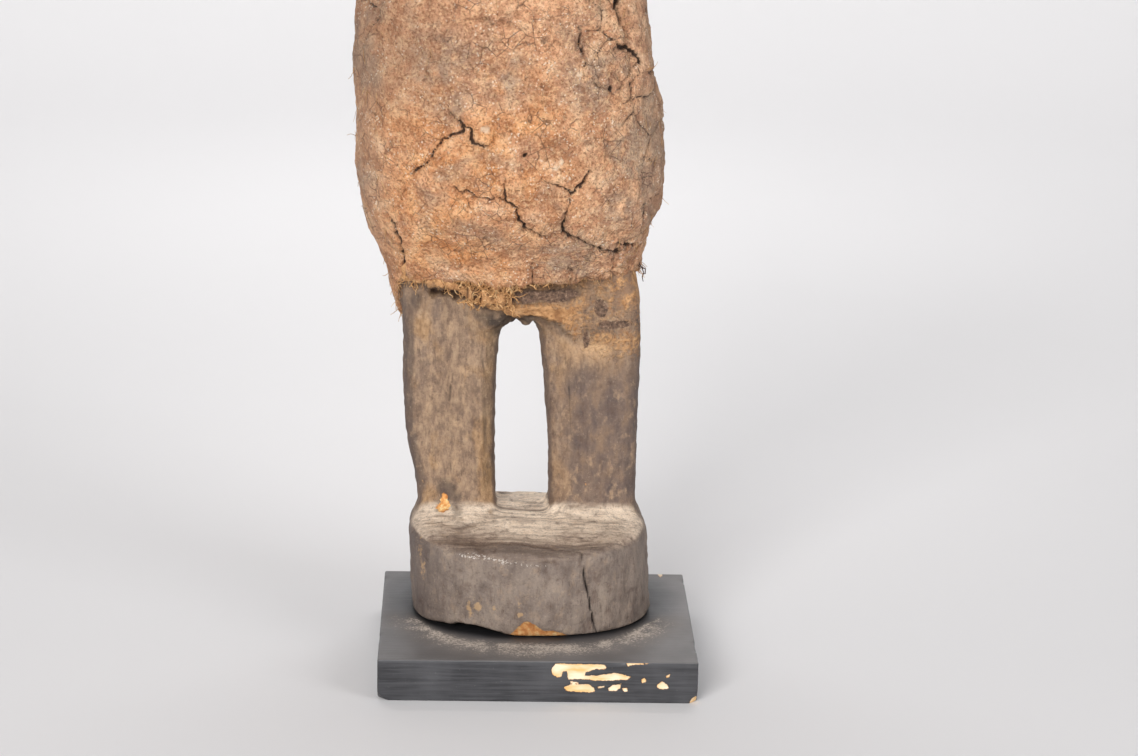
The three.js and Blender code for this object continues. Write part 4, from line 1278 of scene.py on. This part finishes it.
def bare_wood(f, streaks, patches, top_streaks):
    """The colours of the wood: brown-grey and ochre, paler on the stand, streaked on top of it, with painted
    shade on its sideways faces, the legs' bevels and the crotch.
    """
    f.colour = f.ramp(streaks, (0.3, 116, 94, 79), (0.46, 146, 120, 98), (0.56, 164, 136, 110),
                      (0.7, 178, 152, 124))
    ochre = f.ramp(streaks, (0.3, 132, 100, 68), (0.52, 170, 134, 96), (0.7, 192, 156, 116))
    f.over(ochre, f.share(patches, 0.46, 0.62, 0, 0.85))
    worn = f.ramp(f.noise(6, 5, (1, 1, 2), rough=0.62), (0.35, 92, 78, 74), (0.5, 118, 99, 88),
                  (0.65, 140, 115, 94))
    worn_place = f.math("MAXIMUM", f.share(f.noise(19, 3, (1, 1, 1.8)), 0.54, 0.66, 0, 0.6),
                        f.marked("spent", f.share(patches, 0.3, 0.5, 0.75, 0.95)))
    f.over(worn, worn_place)
    stand = f.ramp(f.noise(8, 6, (1, 1, 1.6), rough=0.62), (0.32, 110, 97, 90), (0.5, 137, 123, 113),
                   (0.68, 155, 140, 127))
    f.stain("block", stand, 0.92)
    top = f.ramp(top_streaks, (0.3, 92, 74, 64), (0.45, 142, 120, 104), (0.57, 180, 156, 136),
                 (0.7, 226, 204, 180))
    f.stain("flat", top, 0.9)
    f.stain("pale", (255, 234, 210), f.share(f.plus(top_streaks, f.centred(patches)), 0.3, 0.54, 0.42, 1))
    for name, colour, strength in (("rim", (104, 90, 82), 0.42), ("groove", (92, 70, 56), 0.6),
                                   # The strip and olive colours are partly painted shade on the legs'
                                   # sideways bevels.
                                   ("strip", (82, 70, 66), 0.62), ("olive", (104, 80, 50), 0.45)):
        f.stain(name, colour, strength)
    blotch = f.noise(4.5, 4, (1, 1, 1.4), rough=0.6)
    f.over((98, 76, 64), f.share(blotch, 0.46, 0.3, 0, 0.6))
    less_on_block = f.share(f.mark("block"), 0, 1, 1, 0.4)
    f.over((206, 172, 136), f.times(f.share(blotch, 0.56, 0.72, 0, 0.5), less_on_block))
    strokes = f.noise(0.9, 3, (1, 1, 11), rough=0.6)
    f.over((84, 62, 48), f.times(f.share(strokes, 0.42, 0.3, 0, 0.6), f.share(streaks, 0.6, 0.4)))
    # The bevel colour on sideways faces is partly painted shade.
    for name, colour, strength in (("bevel", (88, 75, 72), 0.55), ("soot", (60, 50, 48), 0.6),
                                   # Earth in the crotch, partly painted shade under its arch.
                                   ("dirt_and_shade", (52, 40, 32), 0.92)):
        f.stain(name, colour, strength)


def wood_finish():
    """Old dry wood: brown-grey with ochre dust, dark checks, dried mud over the hips and fresh chips."""
    f = Finish("old_wood_finish", 0.7)
    streaks = f.noise(2.4, 6, (1, 1, 2.4), rough=0.68)
    patches = f.noise(11, 4, (1, 1, 1.5), wobble=0.5)
    top_streaks = f.noise(1.7, 4, (14, 1, 1), rough=0.65)
    grit = f.noise(1.3, 5, rough=0.7)
    fine = f.centred(f.noise(1.6, 3))
    bare_wood(f, streaks, patches, top_streaks)
    f.over((78, 62, 52), f.share(grit, 0.45, 0.3, 0, 0.5))
    f.over((214, 190, 158), f.share(grit, 0.58, 0.74, 0, 0.35))

    # Mud, a painted shadow under its lower edge, and the wood that shows in its gaps
    mud_patch = f.noise(5, 5, rough=0.62)
    mud = f.ramp(mud_patch, (0.3, 146, 100, 60), (0.45, 188, 138, 90), (0.6, 214, 164, 114),
                 (0.74, 234, 190, 142))
    mud = f.mix(mud, (108, 72, 46), f.share(grit, 0.46, 0.34, 0, 0.7))
    mud = f.mix(mud, (246, 208, 160), f.share(grit, 0.58, 0.72, 0, 0.5))
    dulled = f.share(f.noise(4, 4, rough=0.62), 0.42, 0.56, 0, 0.75)
    mud = f.mix(mud, (134, 110, 94), f.marked("greyed", dulled))
    covered = f.share(f.ragged("mud", fine, 3.4), -0.4, 0.9, 0, 0.94)
    f.over(mud, covered)
    # Painted shadow in a band just below the mud's lower edge.
    f.stain("mud_edge_shadow", (62, 44, 32), 0.6)
    f.stain("ochre", (224, 182, 138), f.share(grit, 0.3, 0.6, 0.35, 0.9))
    bared = f.ramp(grit, (0.35, 58, 42, 34), (0.55, 120, 92, 74), (0.75, 200, 170, 142))
    f.over(bared, f.share(f.ragged("gap", fine, 2.2), 0.0, 0.4, 0, 0.9))
    # Painted shade in the cavities under the hem and between the felted straw.
    f.stain("hollow", (66, 42, 26), 0.92)
    # Painted shade in a band just under the crust's hem.
    f.stain("under_hem_shade", (64, 46, 34), 0.75)

    # White dust, bruises, raw wood in the chips, and dark cracks
    speckle = f.centred(f.noise(0.9, 2))
    f.over((222, 212, 202), f.share(f.ragged("white", speckle, 4), 0.3, 0.6, 0, 0.75))
    f.over((206, 168, 122), f.share(f.ragged("bruise", fine, 3), 0.0, 0.7, 0, 0.6))
    raw = f.ramp(f.noise(2.2, 4), (0.35, 190, 120, 58), (0.48, 232, 164, 92), (0.62, 255, 222, 158))
    raw = f.mix(raw, (158, 104, 60), f.marked("block", 0.6))
    f.over(raw, f.share(f.ragged("chip", fine, 1.6), 0.1, 0.4))
    f.over((34, 26, 22), f.share(f.mark("dark"), 0.25, 0.8, 0, 0.93))

    normal = f.bump(f.noise(2.2, 6, (1, 1, 4), rough=0.65), 0.9)
    normal = f.bump(grit, 0.6, f.bump(f.marked("flat", top_streaks), 0.5, normal))
    normal = f.bump(f.times(mud_patch, covered), 1.8, normal)
    return f.finish(normal, f.share(covered, 0, 1, 0.66, 0.86))


def fibre_finish():
    """Dry straw and thread, soaked with earth."""
    f = Finish("straw_and_thread", 0.8)
    f.colour = f.ramp(f.noise(3, 2), (0.35, 168, 122, 76), (0.52, 214, 164, 108), (0.66, 244, 204, 150))
    f.over((72, 52, 42), f.mark("shade"))
    return f.finish(f.bump(f.noise(0.5, 2), 0.1))


def paint_finish():
    """Satin black paint, brushed on along the board, with dust and a painted sheen on top, a painted contact
    shadow round the figure's foot, and pale wood where it has come off.
    """
    f = Finish("black_paint_finish", 0.42)
    brush = f.noise(0.9, 3, (26, 1, 1), rough=0.6)
    cloud = f.noise(20, 3)
    f.colour = f.ramp(brush, (0.35, 44, 44, 47), (0.65, 66, 66, 69))
    f.over((94, 94, 97), f.share(cloud, 0.4, 0.7, 0, 0.4))
    f.over((150, 149, 148), f.share(f.noise(1.1, 3, rough=0.7), 0.68, 0.78, 0, 0.4))

    # Dust, with a painted sheen and a painted contact shadow
    f.stain("dust_film_and_sheen", (148, 143, 140), f.share(cloud, 0.3, 0.7, 0.8, 1.1))
    # Painted contact shadow round the figure's foot.
    f.stain("under", (16, 15, 16), 0.8)
    f.stain("dust", (166, 152, 140), 0.4)
    grains = f.noise(1.1, 4, rough=0.84)
    dust_edge = f.plus(grains, f.times(f.math("SUBTRACT", f.mark("dust"), 1.0), 0.3))
    f.over((212, 198, 184), f.share(dust_edge, 0.4, 0.54, 0, 0.82))
    f.stain("edge", (110, 110, 114), 0.2)

    # Wood in the paint losses, with a darker rim
    bare = f.ragged("bare", f.centred(f.noise(1.1, 3)), 1.0)
    wood = f.ramp(f.noise(4, 3, (3, 1, 1)), (0.35, 238, 192, 124), (0.6, 252, 232, 200))
    f.over(f.mix(wood, (206, 140, 72), f.share(bare, 0.3, 0.05, 0, 0.75)), f.share(bare, -0.02, 0.08))
    normal = f.bump(f.share(bare, 0.1, -0.05), 0.35, f.bump(brush, 0.12))
    return f.finish(normal, f.plus(f.share(brush, 0.3, 0.7, 0.36, 0.5), f.marked("dust", 0.4)))


figure_points, figure_quads, figure_marks = make_figure()
carved = make_object("carving", lean(figure_points), figure_quads, figure_marks)
carved.data.materials.append(wood_finish())
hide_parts("carved_figure")
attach(carved, "root")

wrap_points, wrap_quads, wrap_marks, crust_grid, crust_normals = make_wrap()
wrapping = make_object("crust", lean(wrap_points), wrap_quads, wrap_marks)
wrapping.data.materials.append(crust_finish())
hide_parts("torso_wrapping")
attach(wrapping, "root")

fibre_points, fibre_faces, fibre_marks = make_fibres(crust_grid, crust_normals)
fibres = make_object("loose_fibres", lean(fibre_points), fibre_faces, fibre_marks)
fibres.data.materials.append(fibre_finish())
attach(fibres, "root")

board = make_object("board", *make_plinth())
board.data.materials.append(paint_finish())
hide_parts("display_plinth")
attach(board, "root")
